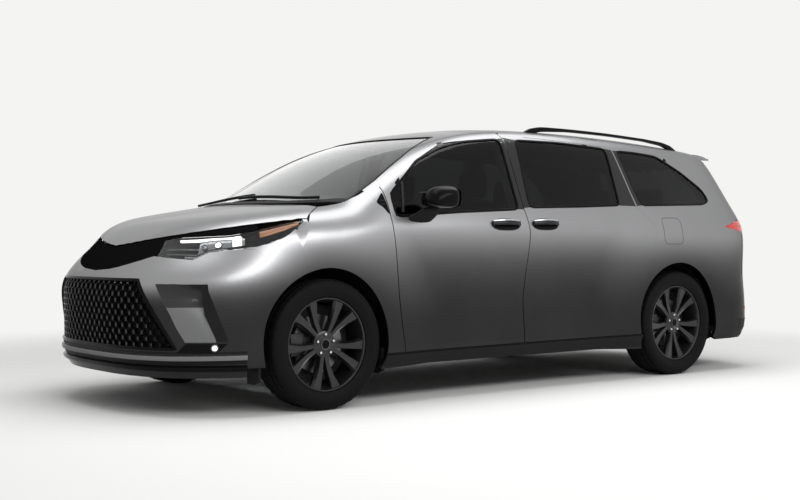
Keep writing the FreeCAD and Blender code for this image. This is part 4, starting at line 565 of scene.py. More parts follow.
# Black rubber for seals and the grille backing; its dark strips over the fuel flap's shut line and the bumper
# grooves are painted shade
RUBBER_AND_GAP_SHADE = Finish("black_rubber_and_gap_shade", Base.PLASTIC, (0.006, 0.006, 0.006), "matte_black", 0.6, grain=300.0,
                relief=0.1, specular=0.15)
MATTE_BLACK = Finish("grained_black_plastic", Base.PLASTIC, (0.011, 0.011, 0.0115), "matte_black", 0.6,
                     grain=500.0, relief=0.3, specular=0.1)
TINTED = Finish("tinted_privacy_glass", Base.GLASS, (0.075, 0.078, 0.082), "tinted_glass", 0.0, relief=0.0,
                grain=8.0, spread=0.01, index=1.22)
CLEAR = replace(TINTED, name="windshield_glass", colour=(0.42, 0.44, 0.45), slot="clear_glass", index=1.45)
LENS = replace(TINTED, name="clear_lamp_lens", colour=(0.90, 0.92, 0.93), slot="lamp_glass", grain=40.0,
               index=1.3)
REFLECTOR = Finish("lamp_reflector", Base.METAL, (0.26, 0.265, 0.275), "lamp_glass", 0.24, 1.0, grain=150.0,
                   relief=0.02)
LED_WHITE = Finish("led_daylight", Base.LIGHT, (1.0, 0.98, 0.95), "lamp_glass", 0.2, grain=80.0, glow=1.6)
AMBER = Finish("amber_marker_lens", Base.LIGHT, (0.30, 0.115, 0.035), "lamp_glass", 0.25, coat=0.1,
               grain=120.0, glow=0.22)
RED = Finish("red_lamp_lens", Base.LIGHT, (0.50, 0.020, 0.008), "red_lens", 0.22, coat=0.1, grain=160.0,
             spread=0.15, glow=0.28)
WHEEL_GREY = Finish("dark_wheel_lacquer", Base.METAL, (0.016, 0.016, 0.017), "wheel_grey", 0.30, 0.5, 0.25,
                    500.0, 0.02)
BRIGHT = Finish("bright_plated_metal", Base.METAL, (0.60, 0.61, 0.63), "rail_metal", 0.14, 1.0, grain=300.0,
                relief=0.01)
SATIN_TRIM = replace(BRIGHT, name="satin_trim_metal", colour=(0.14, 0.14, 0.145), roughness=0.26, relief=0.02)
TYRE = Finish("tyre_rubber_black", Base.PLASTIC, (0.0045, 0.0045, 0.005), "tyre_rubber", 0.62, grain=260.0,
              relief=0.25, spread=0.2, specular=0.08)
CAST = Finish("cast_iron_grey", Base.METAL, (0.05, 0.05, 0.05), "cast_metal", 0.5, 0.8, grain=300.0,
              relief=0.4)
DISC_STEEL = Finish("turned_brake_steel", Base.METAL, (0.13, 0.13, 0.135), "cast_metal", 0.3, 1.0,
                    grain=120.0, relief=0.1)
UNDER = Finish("underbody_coating", Base.PAINT, (0.015, 0.015, 0.016), "under_metal", 0.65, grain=220.0,
               relief=0.5, specular=0.2)
ENGINE = Finish("cast_engine_alloy", Base.METAL, (0.20, 0.20, 0.20), "engine_metal", 0.5, 0.9, grain=180.0,
                relief=0.4)
STEEL = Finish("exhaust_steel_dull", Base.METAL, (0.20, 0.195, 0.19), "exhaust_steel", 0.4, 0.9, grain=120.0,
               relief=0.2, spread=0.3)
FABRIC = Finish("dark_seat_fabric", Base.CLOTH, (0.050, 0.050, 0.055), "seat_fabric", 0.85, grain=900.0,
                relief=0.6, spread=0.3)
CABIN = Finish("cabin_soft_plastic", Base.PLASTIC, (0.040, 0.040, 0.043), "matte_black", 0.55, grain=420.0,
               relief=0.25)


# Mesh tools: every point is in millimetres until a mesh is made
def piece(name: str, points: Grid, faces: Sequence[Sequence[int]], finish: Finish, body: str,
          normals: Optional[Grid] = None, smooth: float = 32.0) -> bpy.types.Object:
    """Makes one finished piece and lets it ride a body.

    Args:
        name: the piece's name.
        points: its corners in millimetres.
        faces: its faces as corner numbers.
        finish: its finish.
        body: the body it rides.
        normals: a shading normal for each face corner, or None to turn faces out and shade by angle.
        smooth: angle in degrees below which edges shade smoothly.

    Returns:
        The new object.
    """
    mesh = bpy.data.meshes.new(name)
    mesh.from_pydata((np.asarray(points) * MM).tolist(), [], [list(map(int, face)) for face in faces])
    if normals is None:
        work = bmesh.new()
        work.from_mesh(mesh)
        bmesh.ops.recalc_face_normals(work, faces=work.faces)
        work.to_mesh(mesh)
        work.free()
    mesh.shade_smooth()
    if normals is None:
        mesh.set_sharp_from_angle(angle=math.radians(smooth))
    else:
        mesh.normals_split_custom_set(np.asarray(normals).tolist())
    mesh.materials.append(finish.material())
    made = bpy.data.objects.new(name, mesh)
    bpy.context.scene.collection.objects.link(made)
    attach(made, body)
    log.info("%s: %d faces on %s", name, len(faces), body)
    return made


def slab_faces(columns: int, rows: int) -> list[list[int]]:
    """Faces of a closed wall between an outer and an inner grid of points.

    Args:
        columns: points along the grid.
        rows: points across the grid.

    Returns:
        Faces over outer points first and inner points after them.
    """
    half = columns * rows
    last = half - rows
    faces = []
    for i in range(columns - 1):
        a, b = i * rows, (i + 1) * rows
        for j in range(rows - 1):
            faces.append([a + j, b + j, b + j + 1, a + j + 1])
            faces.append([half + a + j + 1, half + b + j + 1, half + b + j, half + a + j])
        faces.append([a, half + a, half + b, b])
        faces.append([a + rows - 1, b + rows - 1, half + b + rows - 1, half + a + rows - 1])
    for j in range(rows - 1):
        faces.append([j, j + 1, half + j + 1, half + j])
        faces.append([last + j, half + last + j, half + last + j + 1, last + j + 1])
    return faces


def slab(name: str, outer: Grid, inner: Grid, finish: Finish, flip: bool = False,
         smooth: float = 32.0) -> bpy.types.Object:
    """Closed wall on the chassis between two grids of points.

    Args:
        name: the piece's name.
        outer: grid of its outer points.
        inner: grid of its inner points.
        finish: its finish.
        flip: whether it goes on the right side.
        smooth: angle below which edges shade smoothly.

    Returns:
        The new object.
    """
    points = np.concatenate([outer.reshape(-1, 3), inner.reshape(-1, 3)])
    if flip:
        points = mirrored_points(points)
    return piece(name, points, slab_faces(outer.shape[0], outer.shape[1]), finish, CHASSIS, smooth=smooth)


def densified(places: Sequence[Pair], step: float, closed: bool = True) -> Grid:
    """Splits the long sides of an outline.

    Args:
        places: its corners.
        step: the longest side that stays whole.
        closed: whether the last corner joins the first.

    Returns:
        The points of the outline.
    """
    places = [np.array(place, float) for place in places]
    following = places[1:] + places[:1] if closed else places[1:]
    dense = []
    for start, end in zip(places, following):
        count = max(int(np.linalg.norm(end - start) / step), 1)
        dense += [start + (end - start) * i / count for i in range(count)]
    if not closed:
        dense.append(places[-1])
    return np.array(dense)


def rounded(places: Sequence[Pair], reach: float, corners: int = 5) -> list[Pair]:
    """Closed outline with its corners rounded.

    Args:
        places: the outline's corners.
        reach: how far from each corner its rounding starts.
        corners: points on each rounding.

    Returns:
        The rounded outline.
    """
    result: list[Pair] = []
    corner = [np.array(place, float) for place in places]
    for before, here, after in zip(corner[-1:] + corner[:-1], corner, corner[1:] + corner[:1]):
        first = here + (before - here) * min(reach / np.linalg.norm(before - here), 0.45)
        last = here + (after - here) * min(reach / np.linalg.norm(after - here), 0.45)
        for i in range(corners):
            t = i / (corners - 1)
            result.append(tuple(first * (1 - t) ** 2 + here * 2 * t * (1 - t) + last * t ** 2))
    return result


def smooth_path(places: Sequence[Pair], count: int) -> Grid:
    """Smooth open line through places.

    Args:
        places: places on the line.
        count: points to give, evenly stepped.

    Returns:
        The points.
    """
    rows = np.array(places, float)
    at = np.arange(len(rows))
    steps = np.linspace(0, len(rows) - 1, count)
    return np.stack([Spline(list(zip(at, rows[:, k])))(steps) for k in range(2)], -1)


def full_turn(count: int) -> Grid:
    """Evenly spaced angles round one turn."""
    return np.linspace(0, 2 * np.pi, count, endpoint=False)


def squared(wave: Grid, power: float) -> Grid:
    """A sine or cosine wave bent towards a square one."""
    return np.sign(wave) * np.abs(wave) ** power


def upright(loop: Grid, y: float) -> Grid:
    """Side-view loop placed at a distance across the van."""
    return np.stack([loop[:, 0], np.full(len(loop), float(y)), loop[:, 1]], -1)


def shares(outline: Sequence[Pair]) -> list[Pair]:
    """Side outline in millimetres from shares of the length and height."""
    return [(x * NOSE_X, z * ROOF_HEIGHT) for x, z in outline]


def mirrored_points(points: Grid) -> Grid:
    """Points on the other side of the van."""
    return points * np.array([1.0, -1.0, 1.0])


def flat_mesh(outline: Sequence[Pair], cell: float) -> tuple[Grid, list[list[int]], list[tuple[int, int]]]:
    """Triangulated flat area.

    Args:
        outline: its closed outline.
        cell: size of its facets.

    Returns:
        Its points, its triangles and the edges of its border.
    """
    work = bmesh.new()
    face = work.faces.new([work.verts.new((x, z, 0)) for x, z in densified(outline, cell)])
    bmesh.ops.triangulate(work, faces=[face])
    for _ in range(6):
        edges = [edge for edge in work.edges if edge.calc_length() > cell * 1.4 and not edge.is_boundary]
        if not edges:
            break
        bmesh.ops.subdivide_edges(work, edges=edges, cuts=1)
        bmesh.ops.triangulate(work, faces=work.faces[:])
    bmesh.ops.beautify_fill(work, faces=work.faces[:], edges=work.edges[:])
    work.verts.ensure_lookup_table()
    work.verts.index_update()
    flat = np.array([vert.co[:2] for vert in work.verts])
    border = [(edge.verts[0].index, edge.verts[1].index) for edge in work.edges if edge.is_boundary]
    triangles = [[vert.index for vert in face.verts] for face in work.faces]
    work.free()
    return flat, triangles, border


def overlay(name: str, outline: Sequence[Pair], place: Mapping, finish: Finish, body: str, proud: float = 1.5,
            sink: float = 4.0, cell: float = 40.0, stretch: Pair = (1.0, 1.0),
            flip: bool = False) -> bpy.types.Object:
    """Thin piece that follows the skin inside an outline.

    Args:
        name: the piece's name.
        outline: closed outline in the mapping's own places.
        place: turns places into skin points.
        finish: its finish.
        body: the body it rides.
        proud: height above the skin.
        sink: depth below the skin.
        cell: size of its facets.
        stretch: millimetres for one unit along each direction of a place.
        flip: whether it goes on the right side.

    Returns:
        The new object.
    """
    stretch = np.array(stretch)
    flat, triangles, border = flat_mesh([tuple(np.array(p) * stretch) for p in outline], cell)
    skin, normals = SKIN.settle(place(flat / stretch))
    outer, inner = skin + normals * proud, skin - normals * sink
    if flip:
        outer, inner, normals = map(mirrored_points, (outer, inner, normals))
    count = len(flat)
    points = np.concatenate([outer, inner])
    faces, corner_normals, ahead = [], [], set()
    for triangle in triangles:
        a, b, c = (outer[i] for i in triangle)
        if np.dot(np.cross(b - a, c - a), normals[triangle[0]]) < 0:
            triangle = triangle[::-1]
        faces += [triangle, [i + count for i in reversed(triangle)]]
        corner_normals += [normals[i] for i in triangle] + [-normals[i] for i in reversed(triangle)]
        ahead |= set(zip(triangle, triangle[1:] + triangle[:1]))
    for a, b in border:
        if (a, b) not in ahead:
            a, b = b, a
        quad = [b, a, a + count, b + count]
        across = np.cross(points[quad[1]] - points[quad[0]], points[quad[2]] - points[quad[0]])
        faces.append(quad)
        corner_normals += [across / max(np.linalg.norm(across), 1e-9)] * 4
    return piece(name, points, faces, finish, body, normals=np.array(corner_normals))


def tube_faces(columns: int, count: int, closed: bool) -> list[list[int]]:
    """Faces round a row of loops.

    Args:
        columns: number of loops.
        count: points on each loop.
        closed: whether the last loop joins the first; an open row is capped.

    Returns:
        The faces.
    """
    faces = []
    for i in range(columns if closed else columns - 1):
        a, b = i * count, ((i + 1) % columns) * count
        for j in range(count):
            k = (j + 1) % count
            faces.append([a + j, a + k, b + k, b + j])
    if not closed:
        faces += [list(range(count)), list(range((columns - 1) * count, columns * count))]
    return faces


def strip(name: str, path: Grid, width: float, proud: float, finish: Finish, body: str, sink: float = 3.0,
          closed: bool = False, flip: bool = False, normals: Optional[Grid] = None) -> bpy.types.Object:
    """Bar with a softly rounded top that follows a path on the skin.

    Args:
        name: the piece's name.
        path: points of the path, in millimetres.
        width: its width.
        proud: its height above the path.
        finish: its finish.
        body: the body it rides.
        sink: its depth below the path.
        closed: whether the path runs back to its start.
        flip: whether it goes on the right side.
        normals: the up direction at each point, or None for the skin's.

    Returns:
        The new object.
    """
    if normals is None:
        normals = SKIN.normal(path)
    along = np.roll(path, -1, 0) - np.roll(path, 1, 0) if closed else np.gradient(path, axis=0)
    across = np.cross(along, normals)
    across *= width / 2 / np.linalg.norm(across, axis=1, keepdims=True)
    section = ((-1, -sink), (-1, proud * 0.55), (-0.8, proud * 0.9), (-0.45, proud), (0.45, proud),
               (0.8, proud * 0.9), (1, proud * 0.55), (1, -sink))
    points = np.stack([path + across * a + normals * b for a, b in section], 1)
    if flip:
        points = mirrored_points(points)
    return piece(name, points.reshape(-1, 3), tube_faces(*points.shape[:2], closed), finish, body, smooth=40)


def loft(name: str, sections: Sequence[Grid], finish: Finish, body: str, flip: bool = False, levels: int = 2,
         smooth: float = 60.0) -> bpy.types.Object:
    """Closed form through a row of loops, capped at its ends and rounded by subdivision.

    Args:
        name: the piece's name.
        sections: loops of the same number of points.
        finish: its finish.
        body: the body it rides.
        flip: whether it goes on the right side.
        levels: subdivision levels.
        smooth: angle below which edges shade smoothly.

    Returns:
        The new object.
    """
    points = np.concatenate(sections)
    if flip:
        points = mirrored_points(points)
    faces = tube_faces(len(sections), len(sections[0]), False)
    made = piece(name, points, faces, finish, body, smooth=180 if levels else smooth)
    if levels:
        rounding = made.modifiers.new("rounding", "SUBSURF")
        rounding.levels = levels
        rounding.render_levels = levels
        bake_modifiers(made)
    return made


def bake_modifiers(made: bpy.types.Object) -> None:
    """Turns an object's modifiers into plain mesh.

    Args:
        made: the object.
    """
    graph = bpy.context.evaluated_depsgraph_get()
    mesh = bpy.data.meshes.new_from_object(made.evaluated_get(graph))
    made.modifiers.clear()
    made.data = mesh


def lathe(profile: Sequence[Pair], count: int, centre: Sequence[float], side: float = 1.0) -> Form:
    """Closed ring of revolution about a wheel's axle.

    Args:
        profile: closed loop of (radius, offset outwards) corners.
        count: steps round the axle.
        centre: the wheel's middle, in millimetres.
        side: 1 for the left side of the van and -1 for the right.

    Returns:
        Its points and faces.
    """
    turn = full_turn(count)
    rows = [np.stack([r * np.cos(turn), turn * 0 + side * y, r * np.sin(turn)], -1) for r, y in profile]
    points = np.stack(rows, 1).reshape(-1, 3) + np.array(centre)
    return points, tube_faces(count, len(profile), True)


def prism(rings: Sequence[Pair], corners: int, sizes: Pair, start: float) -> Grid:
    """Points of a straight-sided form along +X.

    Args:
        rings: (place along X, scale) of each ring.
        corners: corners on each ring.
        sizes: half width and half height at scale 1.
        start: angle of the first corner, in degrees.

    Returns:
        Its points, ring by ring.
    """
    turn = np.radians(start + 360 / corners * np.arange(corners))
    wide, high = np.cos(turn) * sizes[0], np.sin(turn) * sizes[1]
    return np.concatenate([np.stack([turn * 0 + x, wide * size, high * size], -1) for x, size in rings])


@dataclass
class Repeater:
    """Geometry Nodes tree that puts one form on many points, facing along their normals."""

    edge_angle: float = 35.0

    def __post_init__(self) -> None:
        """Builds the tree with named inputs for the form, its size and its finish."""
        self.tree = tree = bpy.data.node_groups.new("repeat_form", "GeometryNodeTree")
        sockets = (("Points", "INPUT", "Geometry"), ("Form", "INPUT", "Object"), ("Size", "INPUT", "Float"),
                   ("Finish", "INPUT", "Material"), ("Result", "OUTPUT", "Geometry"))
        self.sockets = {name: tree.interface.new_socket(name, in_out=way,
                                                        socket_type="NodeSocket" + kind).identifier
                        for name, way, kind in sockets}
        given = add_node(tree, "NodeGroupInput").outputs
        form = add_node(tree, "GeometryNodeObjectInfo", {"Object": given["Form"]})
        facing = add_node(tree, "GeometryNodeInputNamedAttribute", {"Name": "facing"},
                          data_type="FLOAT_VECTOR")
        ahead = facing.outputs["Attribute"]
        turn = add_node(tree, "FunctionNodeAlignRotationToVector", {"Vector": ahead}, axis="X",
                        pivot_axis="Z")
        tilt = add_node(tree, "FunctionNodeAlignRotationToVector",
                        {"Rotation": turn.outputs["Rotation"], "Vector": ahead}, axis="X")
        place = add_node(tree, "GeometryNodeInstanceOnPoints",
                         {"Points": given["Points"], "Instance": form.outputs["Geometry"],
                          "Rotation": tilt.outputs["Rotation"], "Scale": given["Size"]})
        real = add_node(tree, "GeometryNodeRealizeInstances", {"Geometry": place.outputs["Instances"]})
        dress = add_node(tree, "GeometryNodeSetMaterial",
                         {"Geometry": real.outputs["Geometry"], "Material": given["Finish"]})
        add_node(tree, "NodeGroupOutput", {"Result": dress.outputs["Geometry"]})

    def scatter(self, name: str, points: Grid, facing: Grid, form: Form, finish: Finish, body: str,
                size: float = 1.0) -> bpy.types.Object:
        """Puts a form on every point and keeps the result as one plain mesh.

        Args:
            name: the piece's name.
            points: places in millimetres.
            facing: outward direction at each point.
            form: points and faces of the form, its +X to face outwards.
            finish: its finish.
            body: the body it rides.
            size: scale of the form.

        Returns:
            The new object.
        """
        shape = bpy.data.meshes.new(name + "_form")
        shape.from_pydata((form[0] * MM).tolist(), [], form[1])
        source = bpy.data.objects.new(name + "_form", shape)
        spots = bpy.data.meshes.new(name + "_spots")
        spots.from_pydata((np.asarray(points) * MM).tolist(), [], [])
        spots.attributes.new("facing", "FLOAT_VECTOR", "POINT").data.foreach_set("vector",
                                                                                 np.asarray(facing).ravel())
        holder = bpy.data.objects.new(name, spots)
        bpy.context.scene.collection.objects.link(holder)
        modifier = holder.modifiers.new("repeat", "NODES")
        modifier.node_group = self.tree
        modifier[self.sockets["Form"]] = source
        modifier[self.sockets["Size"]] = size
        modifier[self.sockets["Finish"]] = finish.material()
        bake_modifiers(holder)
        holder.data.shade_smooth()
        holder.data.set_sharp_from_angle(angle=math.radians(self.edge_angle))
        bpy.data.objects.remove(source)
        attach(holder, body)
        log.info("%s: %d copies on %s", name, len(points), body)
        return holder


# Painted and glazed panels
@dataclass
class Level:
    """A surface of a panel: whether it faces outwards, and its depth below the skin."""

    outward: bool
    depth: float


@dataclass
class PanelDresser:
    """Turns the frame's flat-sided panels into smooth ones that lie exactly on the skin."""

    cell: float = 46.0
    tolerance: float = 24.0
    rounds: int = 8
    merge: float = 0.02
    facing_limit: float = 0.5
    shading_limit: float = 0.45
    least: float = 1e-9

    def dress(self, node: bpy.types.Object, levels: Sequence[Level],
              spare: Optional[Callable[[Grid], Grid]] = None) -> tuple[Grid, list[list[int]], Grid]:
        """Settles a copy of a panel on the skin.

        Args:
            node: the CAD node.
            levels: its surfaces.
            spare: tells which points stay as they are, or None.

        Returns:
            Points, faces and a shading normal for each face corner.
        """
        work = bmesh.new()
        work.from_mesh(node.data)
        bmesh.ops.remove_doubles(work, verts=work.verts, dist=self.merge * MM)
        mark = work.faces.layers.int.new("level")
        work.faces.ensure_lookup_table()
        middle = np.array([face.calc_center_median()[:] for face in work.faces]) / MM
        heading = np.array([face.normal[:] for face in work.faces])
        facing = (heading * SKIN.normal(middle)).sum(1)
        depth = -SKIN.distance(middle)
        skip = spare(middle) if spare else np.zeros(len(middle), bool)
        for i, face in enumerate(work.faces):
            face[mark] = 0
            near = [(abs(depth[i] - level.depth), number) for number, level in enumerate(levels, 1)
                    if (facing[i] if level.outward else -facing[i]) > self.facing_limit]
            if near and min(near)[0] < self.tolerance and not skip[i]:
                face[mark] = min(near)[1]
        self._refine(work, mark)
        return self._settled(work, mark, levels)

    def _refine(self, work: bmesh.types.BMesh, mark: bmesh.types.BMLayerItem) -> None:
        """Splits the long edges of marked faces until none is longer than a cell.

        Args:
            work: the panel.
            mark: the layer that holds each face's level.
        """
        for _ in range(self.rounds):
            edges = [edge for edge in work.edges
                     if edge.calc_length() > self.cell * MM and any(face[mark] for face in edge.link_faces)]
            if not edges:
                break
            bmesh.ops.subdivide_edges(work, edges=edges, cuts=1)
            bmesh.ops.triangulate(work, faces=[face for face in work.faces if len(face.verts) > 3])

    def _settled(self, work: bmesh.types.BMesh, mark: bmesh.types.BMLayerItem,
                 levels: Sequence[Level]) -> tuple[Grid, list[list[int]], Grid]:
        """Moves marked corners to their depths and works out the shading normals.

        Args:
            work: the panel.
            mark: the layer that holds each face's level.
            levels: the panel's surfaces.

        Returns:
            Points, faces and a shading normal for each face corner.
        """
        work.verts.index_update()
        work.verts.ensure_lookup_table()
        points = np.array([vert.co[:] for vert in work.verts]) / MM
        depth = np.full(len(points), np.nan)
        for face in work.faces:
            if face[mark]:
                for vert in face.verts:
                    depth[vert.index] = levels[face[mark] - 1].depth
        chosen = ~np.isnan(depth)
        skin_normals = SKIN.normal(points)
        if chosen.any():
            points[chosen], skin_normals[chosen] = SKIN.settle(points[chosen], depth[chosen])
        faces, normals = [], []
        for face in work.faces:
            corners = [vert.index for vert in face.verts]
            faces.append(corners)
            across = np.cross(points[corners[1]] - points[corners[0]],
                              points[corners[2]] - points[corners[0]])
            across = across / max(np.linalg.norm(across), self.least)
            sign = -1.0 if face[mark] and not levels[face[mark] - 1].outward else 1.0
            if np.dot(across, sign * skin_normals[corners[0]]) > self.shading_limit:
                normals += [sign * skin_normals[i] for i in corners]
            else:
                normals += [across] * len(corners)
        work.free()
        return points, faces, np.array(normals)


def flipped(points: Grid, faces: list[list[int]], normals: Grid) -> tuple[Grid, list[list[int]], Grid]:
    """Makes the same panel for the other side of the van.

    Args:
        points: the panel's corners.
        faces: its faces.
        normals: its normal at each face corner.

    Returns:
        Points, faces and normals of the other panel.
    """
    turned, start = [], 0
    for face in faces:
        turned.append(normals[start:start + len(face)][::-1])
        start += len(face)
    return mirrored_points(points), [face[::-1] for face in faces], mirrored_points(np.concatenate(turned))


# Depths of each panel's surfaces below the skin, the last one facing inwards, and its finish
PANE = (4, 9)
PAIRED_PANELS = (("body_side", (0, 55.3, 80), PAINT), ("fender", (0, 28), PAINT),
                 ("front_door", (0, 55), PAINT), ("sliding_door", (0, 55), PAINT),
                 ("front_door_glass", PANE, TINTED))
SINGLE_PANELS = (("roof_panel", (0, 30), PAINT), ("hood", (0, 22), PAINT), ("front_bumper", (0, 30), PAINT),
                 ("rear_bumper", (0, 30), PAINT), ("tailgate", (0, 60), PAINT),
                 ("fixed_side_glass", PANE, TINTED), ("windshield", PANE, CLEAR),
                 ("rear_glass", PANE, TINTED), ("upper_grille_panel", (3, 21), PANEL_BLACK),
                 ("front_splitter", (-6, 54), PILLAR_BLACK))


@dataclass
class Shell:
    """All painted panels and panes of the body."""

    nodes: dict
    dresser: PanelDresser = field(default_factory=PanelDresser)
    spoiler_x: float = -2060.0
    spoiler_z: float = 1575.0
    spoiler_proud: float = 1.5

    def build(self) -> None:
        """Dresses every panel."""
        for name, depths, finish in PAIRED_PANELS:
            shape = self.dresser.dress(self.nodes[name + "_left"], self._levels(depths), None)
            self._place(name + "_left", shape, finish)
            self._place(name + "_right", flipped(*shape), finish)
        for name, depths, finish in SINGLE_PANELS:
            self._place(name, self.dresser.dress(self.nodes[name], self._levels(depths), self._spared),
                        finish)

    @staticmethod
    def _levels(depths: Sequence[float]) -> list[Level]:
        """Surfaces at depths, the last of them facing inwards."""
        return [Level(True, depth) for depth in depths[:-1]] + [Level(False, depths[-1])]

    def _spared(self, middle: Grid) -> Grid:
        """Whether a point belongs to the spoiler blade or to the hinges, which don't lie on the skin."""
        high = (middle[:, 0] < self.spoiler_x) & (middle[:, 2] > self.spoiler_z)
        return high & (SKIN.distance(middle) > self.spoiler_proud)

    def _place(self, node: str, shape: tuple[Grid, list[list[int]], Grid], finish: Finish) -> None:
        """Makes one dressed panel and lets it stand for its node."""
        points, faces, normals = shape
        body = body_of(self.nodes[node])[0]
        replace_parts(piece("dressed_" + node, points, faces, finish, body, normals=normals), node)


# Outlines on the body's side, in millimetres along and up
PILLAR_FILMS = (("b_front", ((21, 1668), (56, 1627), (56, 1163), (12, 1163), (14, 1300))),
                ("b_rear", ((14, 1640), (8, 1300), (6, 1172), (-44, 1176), (-86, 1629))),
                ("c_front", ((-959, 1610), (-933, 1206), (-1098, 1204), (-1020, 1605))),
                ("c_rear", ((-1034, 1602), (-1112, 1206), (-1154, 1210), (-1073, 1601))))
WINDOW_DIVIDER = ((1018, 1130), (966, 1318))
SAIL = ((1122, 1112), (1192, 1186), (1130, 1246))
SAIL_SLOTS = (((1136, 1170), (1166, 1170), (1166, 1176), (1136, 1176)),
              ((1136, 1192), (1166, 1192), (1166, 1198), (1136, 1198)))
SILL_COVER = ((-1076, 222), (1180, 222), (1174, 292), (-1080, 304))
SILL_BEAD = ((-1076, 306), (1180, 294))
CANT_RAIL = ((-190, 1654), (-500, 1646), (-930, 1624), (-960, 1668), (-600, 1686),
             (-190, 1696))
QUARTER_REAR = [(-2040, 246), (-2040, 700)]
FUEL_FLAP = ((-1311, 938), (-1311, 1125), (-1511, 1125), (-1511, 938))
# Name, rear end, front end and height of each door handle
HANDLES = (("front", 61, 339, 1062), ("sliding", -286, -20, 1066))
# Name, rear face, front face, foot and top of each splash flap
SPLASH_FLAPS = (("front_rear", 1160, 1178, 176, 330), ("rear_rear", -1915, -1900, 226, 330),
                ("front_ahead", 2010, 2024, 168, 300))
# Radius and place across the van of the rear arch liner's edges
ARCH_LINER = ((424, 650), (430, 650), (430, 884), (424, 884))


@dataclass
class SideTrim:
    """Black window surrounds, pillars, handles and sill trim of both sides."""

    surround_width: float = 15.0
    surround_proud: float = 2.2
    trim_sink: float = 6.0
    window_rounding: float = 45.0
    window_step: float = 26.0
    divider_width: float = 16.0
    divider_proud: float = 2.0
    divider_step: float = 24.0
    pillar_proud: float = 1.0
    sail_rounding: float = 14.0
    sail_proud: float = 1.6
    slot_proud: float = 3.0
    cup_inset: float = 14.0
    cup_half_height: float = 38.0
    dish_share: Pair = (0.93, 0.84)
    bar_inset: float = 22.0
    bar_lift: float = 6.0
    bar_stand: float = 8.0
    bar_bow: float = 26.0
    bar_points: int = 17
    insert_lift: float = 19.0
    insert_stand: float = 17.0
    bead_width: float = 12.0
    bead_proud: float = 5.0
    bead_step: float = 60.0
    flap_rows: tuple[float, ...] = (810.0, 840.0, 880.0, 930.0)
    flap_rise: float = 20.0
    quarter_turn: Pair = (133.0, 199.0)
    quarter_sink: float = 24.0
    liner_turn: Pair = (-6.0, 186.0)
    flap_rounding: float = 40.0
    shut_line_width: float = 3.0

    def build(self) -> None:
        """Makes the trim of both sides."""
        for side in SIDES:
            flip = side == "right"
            door = "front_door_" + side
            self._surrounds(side, flip, door)
            self._films(side, flip, door)
            self._handles(side, flip, door)
            self._sill(side, flip)
            self._flaps(side, flip)
            self._quarter(side, flip)
            self._wheelhouse(side, flip)
        # Dark strip of painted shade standing for the shaded gap round the fuel flap
        path = on_skin(SKIN.side, densified(rounded(FUEL_FLAP, self.flap_rounding), 18.0))
        strip("fuel_flap_shut_line", path, self.shut_line_width, 0.5, RUBBER_AND_GAP_SHADE, CHASSIS, sink=1.0, closed=True)

    def _surrounds(self, side: str, flip: bool, door: str) -> None:
        """Gloss strips round each side window and the bar that divides the front one."""
        for name, outline, body in (("front", FRONT_GLASS, door), ("middle", SLIDER_GLASS, CHASSIS),
                                    ("quarter", QUARTER_GLASS, CHASSIS)):
            path = on_skin(SKIN.side, densified(rounded(shares(outline), self.window_rounding),
                                                self.window_step))
            strip(f"window_trim_{name}_{side}", path, self.surround_width, self.surround_proud, GLOSS_BLACK,
                  body, sink=self.trim_sink, closed=True, flip=flip)
        path = on_skin(SKIN.side, densified(WINDOW_DIVIDER, self.divider_step, closed=False))
        strip(f"window_divider_{side}", path, self.divider_width, self.divider_proud, PILLAR_BLACK, door,
              sink=self.trim_sink, flip=flip)

    def _films(self, side: str, flip: bool, door: str) -> None:
        """Dark films on the pillars and the black triangle ahead of the door with its two slots."""
        for name, outline in PILLAR_FILMS:
            body = door if name == "b_front" else CHASSIS
            overlay(f"pillar_film_{name}_{side}", outline, SKIN.side, PILLAR_BLACK, body, self.pillar_proud,
                    flip=flip)
        overlay(f"sail_{side}", rounded(SAIL, self.sail_rounding), SKIN.side, GLOSS_BLACK, CHASSIS,
                self.sail_proud, flip=flip)
        for number, slot in enumerate(SAIL_SLOTS):
            overlay(f"sail_slot_{number}_{side}", slot, SKIN.side, MATTE_BLACK, CHASSIS, self.slot_proud, 1.0,
                    20.0, flip=flip)

    def _handles(self, side: str, flip: bool, door: str) -> None:
        """Dished cups with plated pull handles on the front and sliding doors."""
        turn = full_turn(36)
        for name, rear, front, height in HANDLES:
            body = door if name == "front" else CHASSIS
            middle = np.array([(rear + front) / 2, height])
            half = (front - rear) / 2 - self.cup_inset
            reach = np.stack([half * squared(np.cos(turn), 0.7),
                              self.cup_half_height * squared(np.sin(turn), 0.9)], -1)
            overlay(f"handle_cup_{name}_{side}", middle + reach, SKIN.side, PILLAR_BLACK, body, 0.8, 1.0,
                    22.0, flip=flip)
            overlay(f"handle_dish_{name}_{side}", middle + reach * np.array(self.dish_share), SKIN.side,
                    GLOSS_BLACK, body, 1.6, 1.0, 22.0, flip=flip)
            along = np.linspace(rear + self.bar_inset, front - self.bar_inset, self.bar_points)
            base, normals = SKIN.settle(SKIN.side(np.stack([along, along * 0 + height + self.bar_lift], -1)))
            bow = self.bar_bow * np.sin(np.linspace(0, np.pi, self.bar_points))[:, None] ** 0.6
            strip(f"handle_bar_{name}_{side}", base + normals * (self.bar_stand + bow), 30.0, 9.0,
                  PILLAR_BLACK, body, sink=5.0, flip=flip, normals=normals)
            path = SKIN.side(np.stack([along, along * 0 + height + self.insert_lift], -1))
            strip(f"handle_insert_{name}_{side}", path + normals * (self.insert_stand + bow), 7.0, 2.4,
                  BRIGHT, body, flip=flip, normals=normals)

